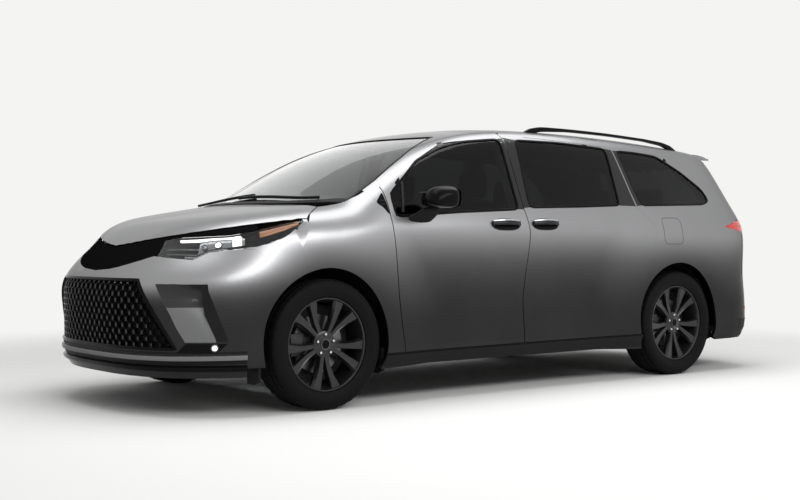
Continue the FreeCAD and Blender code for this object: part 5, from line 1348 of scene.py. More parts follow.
    def _sill(self, side: str, flip: bool) -> None:
        """Black strip and lower cover along the sill."""
        overlay(f"sill_cover_{side}", SILL_COVER, SKIN.side, MATTE_BLACK, CHASSIS, 2.0, 4.0, 60.0, flip=flip)
        path = on_skin(SKIN.side, densified(SILL_BEAD, self.bead_step, closed=False))
        strip(f"sill_bead_{side}", path, self.bead_width, self.bead_proud, GLOSS_BLACK, CHASSIS, flip=flip)

    def _flaps(self, side: str, flip: bool) -> None:
        """Splash flaps behind and ahead of the wheels, their outer edge cut higher."""
        for name, back, ahead, low, high in SPLASH_FLAPS:
            sections = []
            for y in self.flap_rows:
                foot = low + (self.flap_rise if y == self.flap_rows[-1] else 0.0)
                sections.append(np.array([(back, y, foot), (ahead, y, foot), (ahead, y, high),
                                          (back, y, high)]))
            loft(f"splash_flap_{name}_{side}", sections, MATTE_BLACK, CHASSIS, flip, levels=0)

    def _quarter(self, side: str, flip: bool) -> None:
        """Lower quarter behind the rear arch, and the smooth cover of the seam over the sliding door."""
        turn = np.radians(np.linspace(*self.quarter_turn, 14))
        arch = [(REAR_AXLE_X + ARCH_RADIUS * math.cos(t),
                 ARCH_HEIGHT + ARCH_RADIUS * math.sin(t)) for t in turn]
        overlay(f"lower_quarter_{side}", arch + QUARTER_REAR, SKIN.side, PAINT, CHASSIS, 0.8,
                self.quarter_sink, flip=flip)
        overlay(f"cant_rail_cover_{side}", CANT_RAIL, SKIN.side, PAINT, CHASSIS, 1.0, cell=24.0, flip=flip)

    def _wheelhouse(self, side: str, flip: bool) -> None:
        """Arched liner over the rear wheel."""
        sections = []
        for turn in np.radians(np.linspace(*self.liner_turn, 33)):
            sections.append(np.array([(REAR_AXLE_X + radius * math.cos(turn), y,
                                       ARCH_HEIGHT + radius * math.sin(turn))
                                      for radius, y in ARCH_LINER]))
        loft(f"rear_arch_liner_{side}", sections, MATTE_BLACK, CHASSIS, flip, levels=0)


# Place across the van, size, lift and setback of each housing section
MIRROR_SECTIONS = ((978, 0.62, -4, 10), (1010, 0.84, 0, 6), (1070, 0.99, 3, 2),
                   (1130, 0.95, 2, -2), (1166, 0.78, -4, 0), (1188, 0.5, -10, 6))
# Place across the van, size, height and place along it of each arm section
ARM_SECTIONS = ((905, 1.2, 1084, 900), (950, 1.05, 1096, 896), (990, 0.9, 1122, 884),
                (1030, 0.85, 1152, 870))
ARM_LOOP = ((-88, -20), (-40, -30), (40, -30), (92, -18), (84, 12), (30, 26), (-40, 26), (-80, 14))


@dataclass
class DoorMirrors:
    """Rounded door mirrors with their glass, arm and crease."""

    front_x: float = 968.0
    rear_x: float = 752.0
    middle_z: float = 1218.0
    half_height: float = 70.0
    glass_y: float = 1084.0
    glass_half: Pair = (74.0, 62.0)
    glass_proud: float = 4.0
    glass_thickness: float = 6.0
    crease_start: tuple[float, float, float] = (952.0, 1000.0, 1240.0)
    crease_run: tuple[float, float, float] = (-96.0, 172.0, 10.0)

    def build(self) -> None:
        """Makes both mirrors."""
        for side in SIDES:
            self._mirror(side, side == "right", "front_door_" + side)

    def _loop(self, y: float, size: float, lift: float, back: float) -> Grid:
        """One section of the housing across the van."""
        turn = full_turn(16)
        along, up = squared(np.cos(turn), 0.62), squared(np.sin(turn), 0.66)
        middle = (self.front_x + self.rear_x) / 2 - back
        half = (self.front_x - self.rear_x) / 2
        x = middle + along * half * (size - 0.10 * up) - up * 10.0
        z = self.middle_z + lift + up * (self.half_height - 8.0 * along) * size
        return np.stack([x, x * 0 + y, z], -1)

    def _mirror(self, side: str, flip: bool, body: str) -> None:
        """One mirror: housing, glass, arm and crease."""
        sections = [self._loop(*row) for row in MIRROR_SECTIONS]
        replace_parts(loft(f"mirror_housing_{side}", sections, GLOSS_BLACK, body, flip), "mirror_" + side)
        turn = full_turn(20)
        glass = []
        for depth, size in ((0.0, 1.0), (self.glass_thickness, 0.94)):
            y = self.glass_y + squared(np.cos(turn), 0.7) * self.glass_half[0] * size
            z = self.middle_z + squared(np.sin(turn), 0.7) * self.glass_half[1] * size
            glass.append(np.stack([y * 0 + self.rear_x + self.glass_proud - depth, y, z], -1))
        loft(f"mirror_glass_{side}", glass, BRIGHT, body, flip, levels=0)
        loop = np.array(ARM_LOOP, float)
        arm = [upright(loop * size + (ahead, height), y) for y, size, height, ahead in ARM_SECTIONS]
        loft(f"mirror_arm_{side}", arm, MATTE_BLACK, body, flip)
        step = np.linspace(0, 1, 14)
        path = np.stack([step ** 3, step, step], -1) * self.crease_run + self.crease_start
        normals = np.stack([1 - 0.6 * step ** 2, 0.9 * step ** 3, step * 0 + 0.25], -1)
        normals /= np.linalg.norm(normals, axis=1, keepdims=True)
        strip(f"mirror_crease_{side}", path, 12.0, 3.0, PILLAR_BLACK, body, sink=8.0, flip=flip,
              normals=normals)


@dataclass(frozen=True)
class Band:
    """A wall inside the headlamp: plan angles, shares of the lamp's height, depth, thickness and swell."""

    name: str
    angles: Pair
    rise: Pair
    depth: float
    wall: float
    finish: Finish
    swell: float = 0.0
    count: int = 30


# Edges of the headlamp at plan angles round the nose
LAMP_TOP = ((30, 955), (38, 974.4), (47, 979.6), (56.6, 985.7), (64, 1007.5), (75, 1049.2), (82.3, 1073.6))
LAMP_BASE = ((30, 871.7), (40, 857.8), (45.6, 850.9), (50, 892.6), (60, 911.8), (68, 929.2), (75, 977.9),
             (82.3, 1065))
LAMP_BANDS = (Band("housing", (31.6, 82), (0.01, 0.99), 26, 30, GLOSS_BLACK),
              Band("cover", (31.6, 82), (0.01, 0.99), 0, 3, LENS, count=50),
              Band("projector_tray", (46, 61.5), (0.30, 0.80), 20, 8, REFLECTOR, 5),
              Band("light_guide_upper", (38, 60), (0.84, 0.93), 12, 8, LED_WHITE, 3),
              Band("light_guide_end", (57.5, 60.5), (0.30, 0.84), 12, 8, LED_WHITE, 3),
              Band("lower_blade", (42, 56), (0.02, 0.16), 8, 8, SATIN_TRIM, 3),
              Band("fin_upper", (33.5, 46), (0.46, 0.52), 14, 6, SATIN_TRIM, 2),
              Band("fin_lower", (34.5, 46), (0.24, 0.29), 14, 6, SATIN_TRIM, 2),
              Band("marker", (66.5, 80.5), (0.58, 0.92), 9, 8, AMBER, 4))
# Plan angle, height and radius of each projector, and its lens as (reach, share of the radius)
PROJECTORS = ((48, 925, 15), (52.6, 938, 18))
FOG_PROJECTOR = (52.6, 378, 17)
LENS_RINGS = ((-10, 1), (0, 1), (5, 0.8), (8, 0.45), (9, 0.12))
# Inner angle, outer angle and height of the fog pocket's foot and top, and its depth up from the foot
FOG_FOOT = np.array((43.6, 54.6, 408.0))
FOG_TOP = np.array((34.3, 49.2, 724.0))
FOG_DEPTH = ((0, 2), (0.12, 4), (0.35, 16), (0.59, 40), (0.72, 58), (0.86, 52), (0.96, 22), (1, 2))
FOG_HOUSING = ((41.5, 352), (44.2, 402), (56.4, 402), (53.2, 350))
FOG_SLOT = ((48.6, 716), (50, 722), (56.6, 412), (53.2, 412), (49.6, 560))
# Name, height, width, height above the skin and finish of each line round the bumper
# The groove lines are dark strips of painted shade; the lip takes the lighter copy of the body paint as
# painted light
BUMPER_LINES = (("groove", 350, 12, 1.5, RUBBER_AND_GAP_SHADE), ("lip", 322, 30, 14, LIT_PAINT_COPY),
                ("groove_low", 296, 18, 1.5, RUBBER_AND_GAP_SHADE))
# Depth and size of each ring of a grille cell
CELL_RINGS = ((2, 1.02), (-18, 1), (-18, 0.86), (3, 0.80), (8, 0.90))


@dataclass
class FrontFace:
    """Honeycomb grille, lamps, fog lamps and trims of the nose."""

    repeater: Repeater
    cell_width: float = 62.0
    cell_height: float = 46.0
    top: Pair = (27.8, 743.0)
    bottom: Pair = (41.2, 371.0)
    mesh_depth: float = 14.0
    mesh_lift: float = 18.0
    mesh_margin: float = 24.0
    mesh_side: float = 22.0
    mesh_end: float = 26.0
    plate_depth: float = 34.0
    plate_thickness: float = 3.0
    frame_width: float = 17.0
    frame_proud: float = 6.0
    frame_step: float = 20.0
    lamp_rows: int = 5
    projector_depth: float = 13.0
    projector_steps: int = 20
    fog_rows: int = 23
    fog_columns: int = 15
    fog_split: int = 13
    fog_wall: float = 4.0
    fog_lens_depth: float = 2.0
    line_turn: float = 62.0
    line_straight: float = 40.0
    line_rise: float = 4.0
    blade_height: float = 268.0

    def build(self) -> None:
        """Makes every piece of the nose."""
        self._grille()
        for side in SIDES:
            flip = side == "right"
            for band in LAMP_BANDS:
                made = self._lamp_band(band, side, flip)
                if band.name == "housing":
                    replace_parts(made, "headlamps")
            for number, lens in enumerate(PROJECTORS):
                finish = LED_WHITE if number else REFLECTOR
                self._projector(f"lamp_projector_{number}_{side}", lens, flip, finish, self.projector_depth)
        for side in SIDES:
            self._fog_lamp(side, side == "right")
        self._trims()

    def _edge(self, height: float) -> float:
        """Plan angle of the grille's side at a height."""
        share = (height - self.bottom[1]) / (self.top[1] - self.bottom[1])
        return self.bottom[0] + (self.top[0] - self.bottom[0]) * share

    def _grille(self) -> None:
        """Recessed plate, honeycomb of open cells and its frame."""
        heights = np.linspace(self.bottom[1], self.top[1], 9)
        places = np.array([[(turn * self._edge(z), z) for z in heights] for turn in np.linspace(-1, 1, 41)])
        skin, normals = SKIN.settle(SKIN.front(places))
        inner = skin - normals * (self.plate_depth + self.plate_thickness)
        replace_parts(slab("grille_backing", skin - normals * self.plate_depth, inner, RUBBER_AND_GAP_SHADE), "lower_grille")
        row_step = self.cell_height * 0.75
        rows = int((self.top[1] - self.bottom[1] - self.mesh_margin) / row_step)
        spots = [spot for row in range(rows + 1)
                 for spot in self._cell_row(self.bottom[1] + self.mesh_lift + row * row_step, row % 2)]
        spots, facing = SKIN.settle(np.array(spots), self.mesh_depth)
        sizes = (self.cell_width * 0.577, self.cell_height / 2)
        faces = [face[::-1] for face in tube_faces(len(CELL_RINGS), 6, True)]
        cell = (prism(CELL_RINGS, 6, sizes, 30.0), faces)
        self.repeater.scatter("grille_honeycomb", spots, facing, cell, MESH_BLACK, CHASSIS)
        frame = [(-self.bottom[0], self.bottom[1]), self.bottom, self.top, (-self.top[0], self.top[1])]
        rim = densified([np.array(place) * NOSE_STRETCH for place in frame], self.frame_step) / NOSE_STRETCH
        strip("grille_frame", on_skin(SKIN.front, rim), self.frame_width, self.frame_proud, GLOSS_BLACK,
              CHASSIS, sink=self.plate_depth, closed=True)

    def _cell_row(self, height: float, odd: int) -> list[list[float]]:
        """Middles of one row of grille cells.

        Args:
            height: the row's height.
            odd: 1 for a row that is shifted by half a cell, and 0 otherwise.

        Returns:
            The places on the skin.
        """
        arc = np.linspace(-self._edge(height), self._edge(height), 160)
        line = SKIN.front(np.stack([arc, arc * 0 + height], -1))
        length = np.concatenate([[0], np.cumsum(np.linalg.norm(np.diff(line, axis=0), axis=1))])
        total = length[-1]
        count = int((total / 2 - self.mesh_end) / self.cell_width)
        spots = []
        for step in range(-count, count + 1):
            at = total / 2 + (step + odd / 2) * self.cell_width
            if self.mesh_side < at < total - self.mesh_side:
                spots.append([np.interp(at, length, line[:, k]) for k in range(3)])
        return spots

    def _lamp_band(self, band: Band, side: str, flip: bool) -> bpy.types.Object:
        """Makes one wall of a headlamp.

        Args:
            band: its sizes and finish.
            side: name of the lamp's side.
            flip: whether it goes on the right side.

        Returns:
            The wall.
        """
        angles = np.linspace(*band.angles, band.count)
        upper = np.interp(angles, *np.transpose(LAMP_TOP))
        lower = np.interp(angles, *np.transpose(LAMP_BASE))
        rows = np.linspace(*band.rise, self.lamp_rows)
        places = np.array([[(a, lo + (hi - lo) * r) for r in rows] for a, lo,
                           hi in zip(angles, lower, upper)])
        skin, normals = SKIN.settle(SKIN.front(places))
        swell = band.swell * np.sin(np.linspace(0, np.pi, self.lamp_rows))[None, :, None]
        outer, inner = skin - normals * (band.depth - swell), skin - normals * (band.depth + band.wall)
        return slab(f"lamp_{band.name}_{side}", outer, inner, band.finish, flip)

    def _projector(self, name: str, lens: tuple[float, float, float], flip: bool, finish: Finish,
                   depth: float) -> None:
        """One projector lens with its bezel, facing out of the lamp.

        Args:
            name: the lens's name.
            lens: its plan angle, height and radius.
            flip: whether it goes on the right side.
            finish: the lens's finish.
            depth: its depth below the skin.
        """
        middle, normals = SKIN.settle(SKIN.front(np.array([lens[:2]])), depth)
        ahead = normals[0]
        left = np.cross(ahead, (0, 0, 1.0))
        left /= np.linalg.norm(left)
        turn = full_turn(self.projector_steps)[:, None]
        ring = (np.cos(turn) * left + np.sin(turn) * np.cross(left, ahead)) * lens[2]
        sections = [middle[0] + ahead * reach + ring * share for reach, share in LENS_RINGS]
        loft(name, sections, finish, CHASSIS, flip, levels=0, smooth=50)
        strip(name + "_bezel", middle[0] + ring * 1.1, 5.0, 6.0, SATIN_TRIM, CHASSIS, closed=True, flip=flip,
              normals=np.tile(ahead, (self.projector_steps, 1)))

    def _fog_lamp(self, side: str, flip: bool) -> None:
        """Pocket beside the grille: a blade painted light in a lighter copy of the body paint, a hollow
        painted dark as painted shade, a dark slot and the lit fog lamp.
        """
        rows, columns = np.linspace(0, 1, self.fog_rows), np.linspace(0, 1, self.fog_columns)
        edges = [FOG_FOOT + (FOG_TOP - FOG_FOOT) * v for v in rows]
        places = np.array([[(edge[0] * (1 - u) + edge[1] * u, edge[2]) for edge in edges] for u in columns])
        skin, normals = SKIN.settle(SKIN.front(places))
        swell = np.clip(columns * 1.25, 0, 1)[:, None] ** 0.8
        depth = (Spline(FOG_DEPTH)(rows)[None, :] * swell + 1.0)[..., None]
        outer, inner = skin - normals * depth, skin - normals * (depth + self.fog_wall)
        blade, hollow = slice(None, self.fog_split + 1), slice(self.fog_split, None)
        # The blade takes the lighter copy of the body paint as painted light, the hollow a near-black copy as
        # painted shade
        floor = slab(f"fog_blade_{side}", outer[:, blade], inner[:, blade], LIT_PAINT_COPY, flip, 50)
        slab(f"fog_hollow_{side}", outer[:, hollow], inner[:, hollow], PAINTED_SHADE_PAINT, flip, 50)
        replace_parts(floor, "fog_lamps")
        overlay(f"fog_housing_{side}", rounded(FOG_HOUSING, 0.6), SKIN.front, GLOSS_BLACK, CHASSIS, 2.0, 4.0,
                20.0, NOSE_STRETCH, flip)
        self._projector(f"fog_lens_{side}", FOG_PROJECTOR, flip, LED_WHITE, self.fog_lens_depth)
        overlay(f"fog_slot_{side}", FOG_SLOT, SKIN.front, MATTE_BLACK, CHASSIS, 1.0, 44.0, 20.0, NOSE_STRETCH,
                flip)

    def _trims(self) -> None:
        """Dark strips of painted shade for the grooves, the lip over the splitter painted light in a lighter
        copy of the body paint, and the splitter's own blade.
        """
        arc = np.linspace(-self.line_turn, self.line_turn, 81)
        rise = self.line_rise * ramp(np.abs(arc), self.line_straight, self.line_turn - self.line_straight)
        for name, height, width, proud, finish in BUMPER_LINES:
            path = on_skin(SKIN.front, np.stack([arc, height + rise], -1))
            strip("bumper_" + name, path, width, proud, finish, CHASSIS, sink=6.0)
        path = on_skin(SKIN.front, np.stack([arc, arc * 0 + self.blade_height], -1))
        strip("splitter_blade", path, 30.0, 20.0, GLOSS_BLACK, CHASSIS, sink=2.0)


# Wheel profiles: (radius, offset outwards) corners
TYRE_WALL = [(268, 93), (270, 101), (276, 105), (286, 109), (300, 114.5), (318, 117.4),
             (334, 116), (344, 113.6), (346, 115.2), (352, 113), (360, 107), (366, 100),
             (369.5, 92)]
GROOVE = ((370.6, 5), (364, 3.5), (364, -3.5), (370.8, -5))
BARREL = ((267.6, -94), (267.6, 94), (264, 97), (258, 96), (254.5, 91), (253, 84), (246, 70),
          (244, 40), (238, 10), (238, -80), (250, -90), (256, -94))
HUB = ((0.5, 40), (70, 40), (78, 52), (74, 66), (62, 71), (40, 71), (35, 73), (0.5, 73))
CAP = ((0.5, 72), (30, 72), (31, 76), (28, 78), (24, 77), (0.5, 77.5))
CAP_RING = ((26, 76), (30, 76), (30, 79), (26, 79))
DISC = ((70, -22), (168, -22), (168, -16), (160, -15), (160, -11), (168, -10), (168, -4),
        (82, -4), (78, 26), (40, 28), (40, -22))
SHIELD = ((60, -46), (120, -46), (128, -38), (214, -38), (220, -30), (223, -30),
          (217, -42), (132, -42), (124, -50), (60, -50))
# Radius, distance from the pair's middle in degrees, half width and front face of each spoke section
SPOKE_ROWS = ((48, 13, 15, 66), (84, 12.2, 16, 69), (132, 12, 18.5, 72),
              (190, 13.6, 23, 80), (232, 15.2, 30, 88), (256, 15.8, 34, 90))
# Share of the half width and setback of the spoke section's corners
SPOKE_SECTION = ((-1, 40), (-1, 10), (-0.86, 2), (0.30, 4), (0.62, 1), (1, 16), (1, 40))
# Height and radius of each ring of a lug nut
NUT_RINGS = ((0, 10.5), (13, 10.5), (17, 7.5), (18.5, 3))


@dataclass
class Wheel:
    """One wheel: grooved tyre, twin-spoke rim, nuts, cap and brake disc."""

    body: str
    node: str
    centre: tuple[float, float, float]
    side: float
    repeater: Repeater
    steps: int = 120
    tyre_steps: int = 168
    grooves: Pair = (78.0, 30.0)
    cut_every: int = 4
    cut_reach: int = 10
    cut_radius: float = 359.5
    cut_depth: float = 3.5
    spokes: int = 5
    lowest: float = 270.0
    nut_circle: float = 57.0
    nut_seat: float = 66.0

    def build(self) -> None:
        """Makes the wheel and lets it stand for its two nodes."""
        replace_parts(self._tyre(), "tyre_" + self.node)
        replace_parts(self._ring("rim_barrel", BARREL, WHEEL_GREY, self.steps, 24), "rim_" + self.node)
        self._spokes()
        self._hub()
        self._ring("brake_disc", DISC, DISC_STEEL, 96, 24)
        points, faces = lathe(SHIELD, 72, self.centre, self.side)
        still = f"knuckle_{self.node.split('_')[1]}" if self.node.startswith("front") else CHASSIS
        piece(f"dust_shield_{self.node}", points, faces, UNDER, still)

    def _ring(self, name: str, profile: Sequence[Pair], finish: Finish, count: int,
              smooth: float = 32.0) -> bpy.types.Object:
        """Ring about the axle from a closed profile."""
        points, faces = lathe(profile, count, self.centre, self.side)
        return piece(f"{name}_{self.node}", points, faces, finish, self.body, smooth=smooth)

    def _tyre(self) -> bpy.types.Object:
        """Tyre with a rounded sidewall, shoulder ribs and four grooves round its tread."""
        half = TYRE_WALL + [(radius, groove + off) for groove in self.grooves for radius, off in GROOVE]
        profile = half + [(radius, -off) for radius, off in reversed(half)]
        made = self._ring("round_tyre", profile, TYRE, self.tyre_steps, 40)
        self._tread_cuts(made, len(profile), len(half))
        return made

    def _tread_cuts(self, made: bpy.types.Object, size: int, half: int) -> None:
        """Sinks cuts into the blocks of the tread.

        Args:
            made: the tyre.
            size: corners on its profile.
            half: corners on half of it.
        """
        middle = np.array(self.centre) * MM
        for number, vert in enumerate(made.data.vertices):
            step, place = divmod(number, size)
            if half - self.cut_reach <= place < half + self.cut_reach and place not in (half - 1, half) \
                    and step % self.cut_every == 0:
                radial = Vector((vert.co.x - middle[0], 0, vert.co.z - middle[2]))
                if radial.length > self.cut_radius * MM:
                    vert.co -= radial.normalized() * self.cut_depth * MM

    def _spoke(self, angle: float, lean: float) -> Grid:
        """One tapering spoke with a ridge along its middle, in the wheel's own plane.

        Args:
            angle: the pair's angle, in degrees.
            lean: -1 or 1, for its side of the pair.

        Returns:
            Its points.
        """
        points = []
        for radius, off, half, front in SPOKE_ROWS:
            turn = math.radians(angle + lean * off)
            along = np.array([math.cos(turn), 0.0, math.sin(turn)])
            across = np.array([-math.sin(turn), 0.0, math.cos(turn)]) * lean
            points += [along * radius + across * half * share + (0.0, self.side * (front - back), 0.0)
                       for share, back in SPOKE_SECTION]
        return np.array(points) + self.centre

    def _spokes(self) -> None:
        """Five pairs of spokes in one piece."""
        points, faces = [], []
        for number in range(self.spokes):
            for lean in (-1.0, 1.0):
                first = sum(map(len, points))
                spoke = tube_faces(len(SPOKE_ROWS), len(SPOKE_SECTION), False)
                faces += [[i + first for i in face] for face in spoke]
                points.append(self._spoke(self.lowest + 360 / self.spokes * number, lean))
        piece("rim_spokes_" + self.node, np.concatenate(points), faces, WHEEL_GREY, self.body, smooth=24)

    def _hub(self) -> None:
        """Hub face with its nuts and a plain cap."""
        self._ring("rim_hub", HUB, WHEEL_GREY, 60)
        self._ring("centre_cap", CAP, GLOSS_BLACK, 48)
        self._ring("centre_cap_ring", CAP_RING, SATIN_TRIM, 48)
        turn = np.radians(90 + 360 / self.spokes * np.arange(self.spokes))
        seats = np.stack([self.nut_circle * np.cos(turn), turn * 0 + self.side * self.nut_seat,
                          self.nut_circle * np.sin(turn)], -1) + self.centre
        facing = np.tile(np.array([0.0, self.side, 0.0]), (self.spokes, 1))
        faces = tube_faces(len(NUT_RINGS), 6, False)
        faces[-2].reverse()
        nut = (prism(NUT_RINGS, 6, (1.0, 1.0), 0.0), faces)
        self.repeater.scatter("lug_nuts_" + self.node, seats, facing, nut, BRIGHT, self.body)


# Place along the van, top and thickness of the roof rail's stations, and its section about its middle
RAIL = ((-250, 1690, 34), (-330, 1728, 40), (-430, 1744, 34), (-700, 1744, 22),
        (-1100, 1736, 20), (-1500, 1718, 20), (-1700, 1702, 26), (-1800, 1682, 36),
        (-1880, 1640, 34))
RAIL_TOP = ((-16, 8), (-10, 0), (8, 1), (15, 10))
# Outlines on the tail, in millimetres across and up
PLATE_RECESS = ((-262, 832), (262, 832), (250, 968), (-250, 968))
PLATE_BLANK = ((-152, 842), (152, 842), (152, 958), (-152, 958))
REFLECTOR_EDGE = ((44, 436), (54, 436), (54, 466), (44, 466))
CORNER_STRIP = ((-2300, 700), (-2318, 700), (-2318, 1010), (-2296, 1010))
REAR_GLASS = ((0.6150, 0.6900), (0.5950, 0.8000), (0.5450, 0.8950))
# Name, ends across and up, points, width, proud, sink, lift and finish of each bar on the tailgate
TAIL_BARS = (("tailgate_bar", (-330, 330), (1000, 1000), 23, 34, 9, 2, 0, GLOSS_BLACK),
             ("tail_light_bar", (-636, 636), (1068, 1068), 41, 26, 4, 2, 0, RED),
             ("rear_wiper", (-20, 330), (1196, 1228), 15, 14, 5, 6, 10, MATTE_BLACK))
# Lines on the windshield and the cowl, in shares or in millimetres along and across
WINDSHIELD_SIDE = ((0.5190, 0.8330), (0.4270, 0.7970), (0.3310, 0.7260), (0.2420, 0.6350), (0.1860, 0.5780))
COWL = ((1345, 800), (1545, 451), (1609, 0), (1545, -451), (1345, -800))
WINDSHIELD_TOP = ((482, 555), (580, 298), (614, 0), (580, -298), (482, -555))
WIPERS = (((1548, -60), (1500, 420), (1420, 640)), ((1560, -560), (1540, -200), (1510, 60)))


@dataclass
class RoofAndTail:
    """Roof rails, spoiler, lamps, wipers and plate recess."""

    rail_y: float = 624.0
    rail_half: float = 15.0
    rail_steps: int = 60
    lamp_start: float = -2046.0
    lamp_end: float = -2330.0
    lamp_inner_y: float = 668.0
    lamp_proud: float = 1.5
    lamp_depth: float = 30.0
    spoiler_half: float = 592.0
    spoiler_tip: float = -2318.0
    spoiler_sweep: float = 34.0
    stop_lamp_half: float = 150.0
    stop_lamp_x: float = -2312.0
    cover_turn: float = 62.0
    cover_heights: Pair = (244.0, 372.0)
    seal_sink: float = 6.0
    seal_step: float = 26.0
    blade_lift: float = 12.0

    def build(self) -> None:
        """Makes the roof and tail fittings."""
        for side in SIDES:
            self._rail(side, side == "right")
            self._tail_lamp(side, side == "right")
        self._spoiler()
        self._tail_details()
        self._wipers()

    def _rail(self, side: str, flip: bool) -> None:
        """Smooth roof rail whose ends run down into the roof."""
        steps = np.linspace(0, 1, self.rail_steps)
        own = np.linspace(0, 1, len(RAIL))
        places, tops, thicks = (np.interp(steps, own, row) for row in np.transpose(RAIL))
        tops[2:-2] = np.convolve(tops, np.ones(5) / 5, "valid")
        sections = []
        for x, top, thick in zip(places, tops, thicks):
            loop = [(-self.rail_half, thick), *RAIL_TOP, (self.rail_half, thick)]
            sections.append(np.array([(x, self.rail_y + across, top - down) for across, down in loop]))
        made = loft(f"roof_rail_{side}", sections, GLOSS_BLACK, CHASSIS, flip, levels=0, smooth=40)
        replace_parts(made, "roof_rails")

    def _tail_lamp(self, side: str, flip: bool) -> None:
        """Red lamp round the corner, with a clear line along it."""
        along = np.linspace(self.lamp_start, self.lamp_end, 20)
        shape = np.array(shares(TAIL_LAMP))
        upper = np.interp(-along, -shape[[0, 1, 2], 0], shape[[0, 1, 2], 1])
        lower = np.interp(-along, -shape[[0, 4, 3], 0], shape[[0, 4, 3], 1])
        rows = np.linspace(0, 1, 7)
        places = np.array([[(x, lo + (hi - lo) * r) for r in rows] for x, lo, hi in zip(along, lower, upper)])
        skin = on_skin(SKIN.side, places)
        corner = skin[-1]
        turned = [SKIN.behind(np.stack([corner[:, 1] * (1 - step) + self.lamp_inner_y * step, corner[:, 2]],
                                       -1))
                  for step in np.linspace(0.12, 1, 9)]
        skin, normals = SKIN.settle(np.concatenate([skin, np.array(turned)]))
        outer, inner = skin + normals * self.lamp_proud, skin - normals * self.lamp_depth
        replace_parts(slab(f"tail_lamp_lens_{side}", outer, inner, RED, flip), "tail_lamps")
        strip(f"tail_lamp_line_{side}", skin[2:-1, 3], 9.0, 4.0, LENS, CHASSIS, sink=1.0, flip=flip)

    def _spoiler(self) -> None:
        """Spoiler blade over the rear glass with a stop lamp in its edge."""
        sections = []
        for y in np.linspace(-self.spoiler_half, self.spoiler_half, 25):
            drop = SKIN.roof_crown * (y / SKIN.roof_half) ** 2
            tip = self.spoiler_tip + self.spoiler_sweep * (abs(y) / self.spoiler_half) ** 3
            section = ((-2136.0, 2.0), (-2180.0, 6.0), (-2240.0, 7.0), (tip + 10, 4.0), (tip, -2.0),
                       (tip + 14, -12.0), (-2230.0, -22.0), (-2150.0, -20.0))
            sections.append(np.array([(x, y, float(SKIN.roof(x)) - drop + lift) for x, lift in section]))
        loft("spoiler_blade", sections, PAINT, TAILGATE, levels=0, smooth=50)
        y = np.linspace(-self.stop_lamp_half, self.stop_lamp_half, 13)
        drop = SKIN.roof_crown * (y / SKIN.roof_half) ** 2
        path = np.stack([y * 0 + self.stop_lamp_x, y, float(SKIN.roof(-2300.0)) - 9 - drop], -1)
        strip("high_stop_lamp", path, 12.0, 4.0, RED, TAILGATE,
              normals=np.tile(np.array([-1.0, 0, 0]), (13, 1)))

    def _tail_details(self) -> None:
        """Plate recess, handle bar, rear wiper, reflectors and lower cover."""
        overlay("plate_recess", rounded(PLATE_RECESS, 24.0), SKIN.behind, MATTE_BLACK, TAILGATE, 1.2, 2.0)
        overlay("plate_blank", rounded(PLATE_BLANK, 12.0), SKIN.behind, SATIN_TRIM, TAILGATE, 3.5, 1.0)
        for name, ends, heights, count, width, proud, sink, lift, finish in TAIL_BARS:
            line = np.stack([np.linspace(*ends, count), np.linspace(*heights, count)], -1)
            strip(name, on_skin(SKIN.behind, line, -lift), width, proud, finish, TAILGATE, sink=sink)
        glass = [(y * DOOR_HALF_WIDTH, z * ROOF_HEIGHT) for y, z in REAR_GLASS]
        outline = rounded(glass + [(-y, z) for y, z in reversed(glass)], 40.0)
        path = on_skin(SKIN.behind, densified(outline, self.seal_step))
        strip("rear_window_trim", path, 22.0, 2.0, GLOSS_BLACK, TAILGATE, sink=self.seal_sink, closed=True)
        arc = np.linspace(-self.cover_turn, self.cover_turn, 61)
        low, high = self.cover_heights
        cover = [(turn, low) for turn in arc] + [(turn, high) for turn in arc[::-1]]
        overlay("rear_lower_cover", cover, SKIN.back, MATTE_BLACK, CHASSIS, 2.0, 4.0, 60.0, TAIL_STRETCH)
        for side in SIDES:
            flip = side == "right"
            # The reflectors take the red lamp finish and glow with it, though they are no lamps: a painted
            # glow
            overlay(f"rear_reflector_{side}", rounded(REFLECTOR_EDGE, 0.4), SKIN.back, RED, CHASSIS, 3.0, 2.0,
                    30.0, TAIL_STRETCH, not flip)
            overlay(f"corner_strip_{side}", CORNER_STRIP, SKIN.side, GLOSS_BLACK, CHASSIS, 1.5, 2.0,
                    flip=flip)

    def _wipers(self) -> None:
        """Windshield seals, the cowl grille and the wipers on it."""
        edge = densified([(x * NOSE_X, y * DOOR_HALF_WIDTH) for x, y in WINDSHIELD_SIDE], self.seal_step,
                         closed=False)
        for side in SIDES:
            strip(f"windshield_side_seal_{side}", on_skin(SKIN.over, edge), 13.0, 2.0, RUBBER_AND_GAP_SHADE, CHASSIS,
                  sink=self.seal_sink, flip=side == "right")
        strip("cowl_grille", on_skin(SKIN.over, smooth_path(COWL, 60), 2.0), 62.0, 3.0, MATTE_BLACK, CHASSIS,
              sink=8.0)
        strip("windshield_top_seal", on_skin(SKIN.over, smooth_path(WINDSHIELD_TOP, 40)), 12.0, 2.0, RUBBER_AND_GAP_SHADE,
              CHASSIS, sink=self.seal_sink)
        for number, run in enumerate(WIPERS):
            path = on_skin(SKIN.over, smooth_path(run, 24), -self.blade_lift)
            strip(f"wiper_blade_{number}", path, 16.0, 8.0, MATTE_BLACK, CHASSIS, sink=8.0)


# Node, front edge, middles, width and height of the back of each row of seats
SEAT_ROWS = (("front_seats", 700, (-390, 390), 520, 560),
             ("rear_seats", -350, (-390, 390), 520, 560),
             ("rear_seats", -1270, (-270, 270), 538, 500))
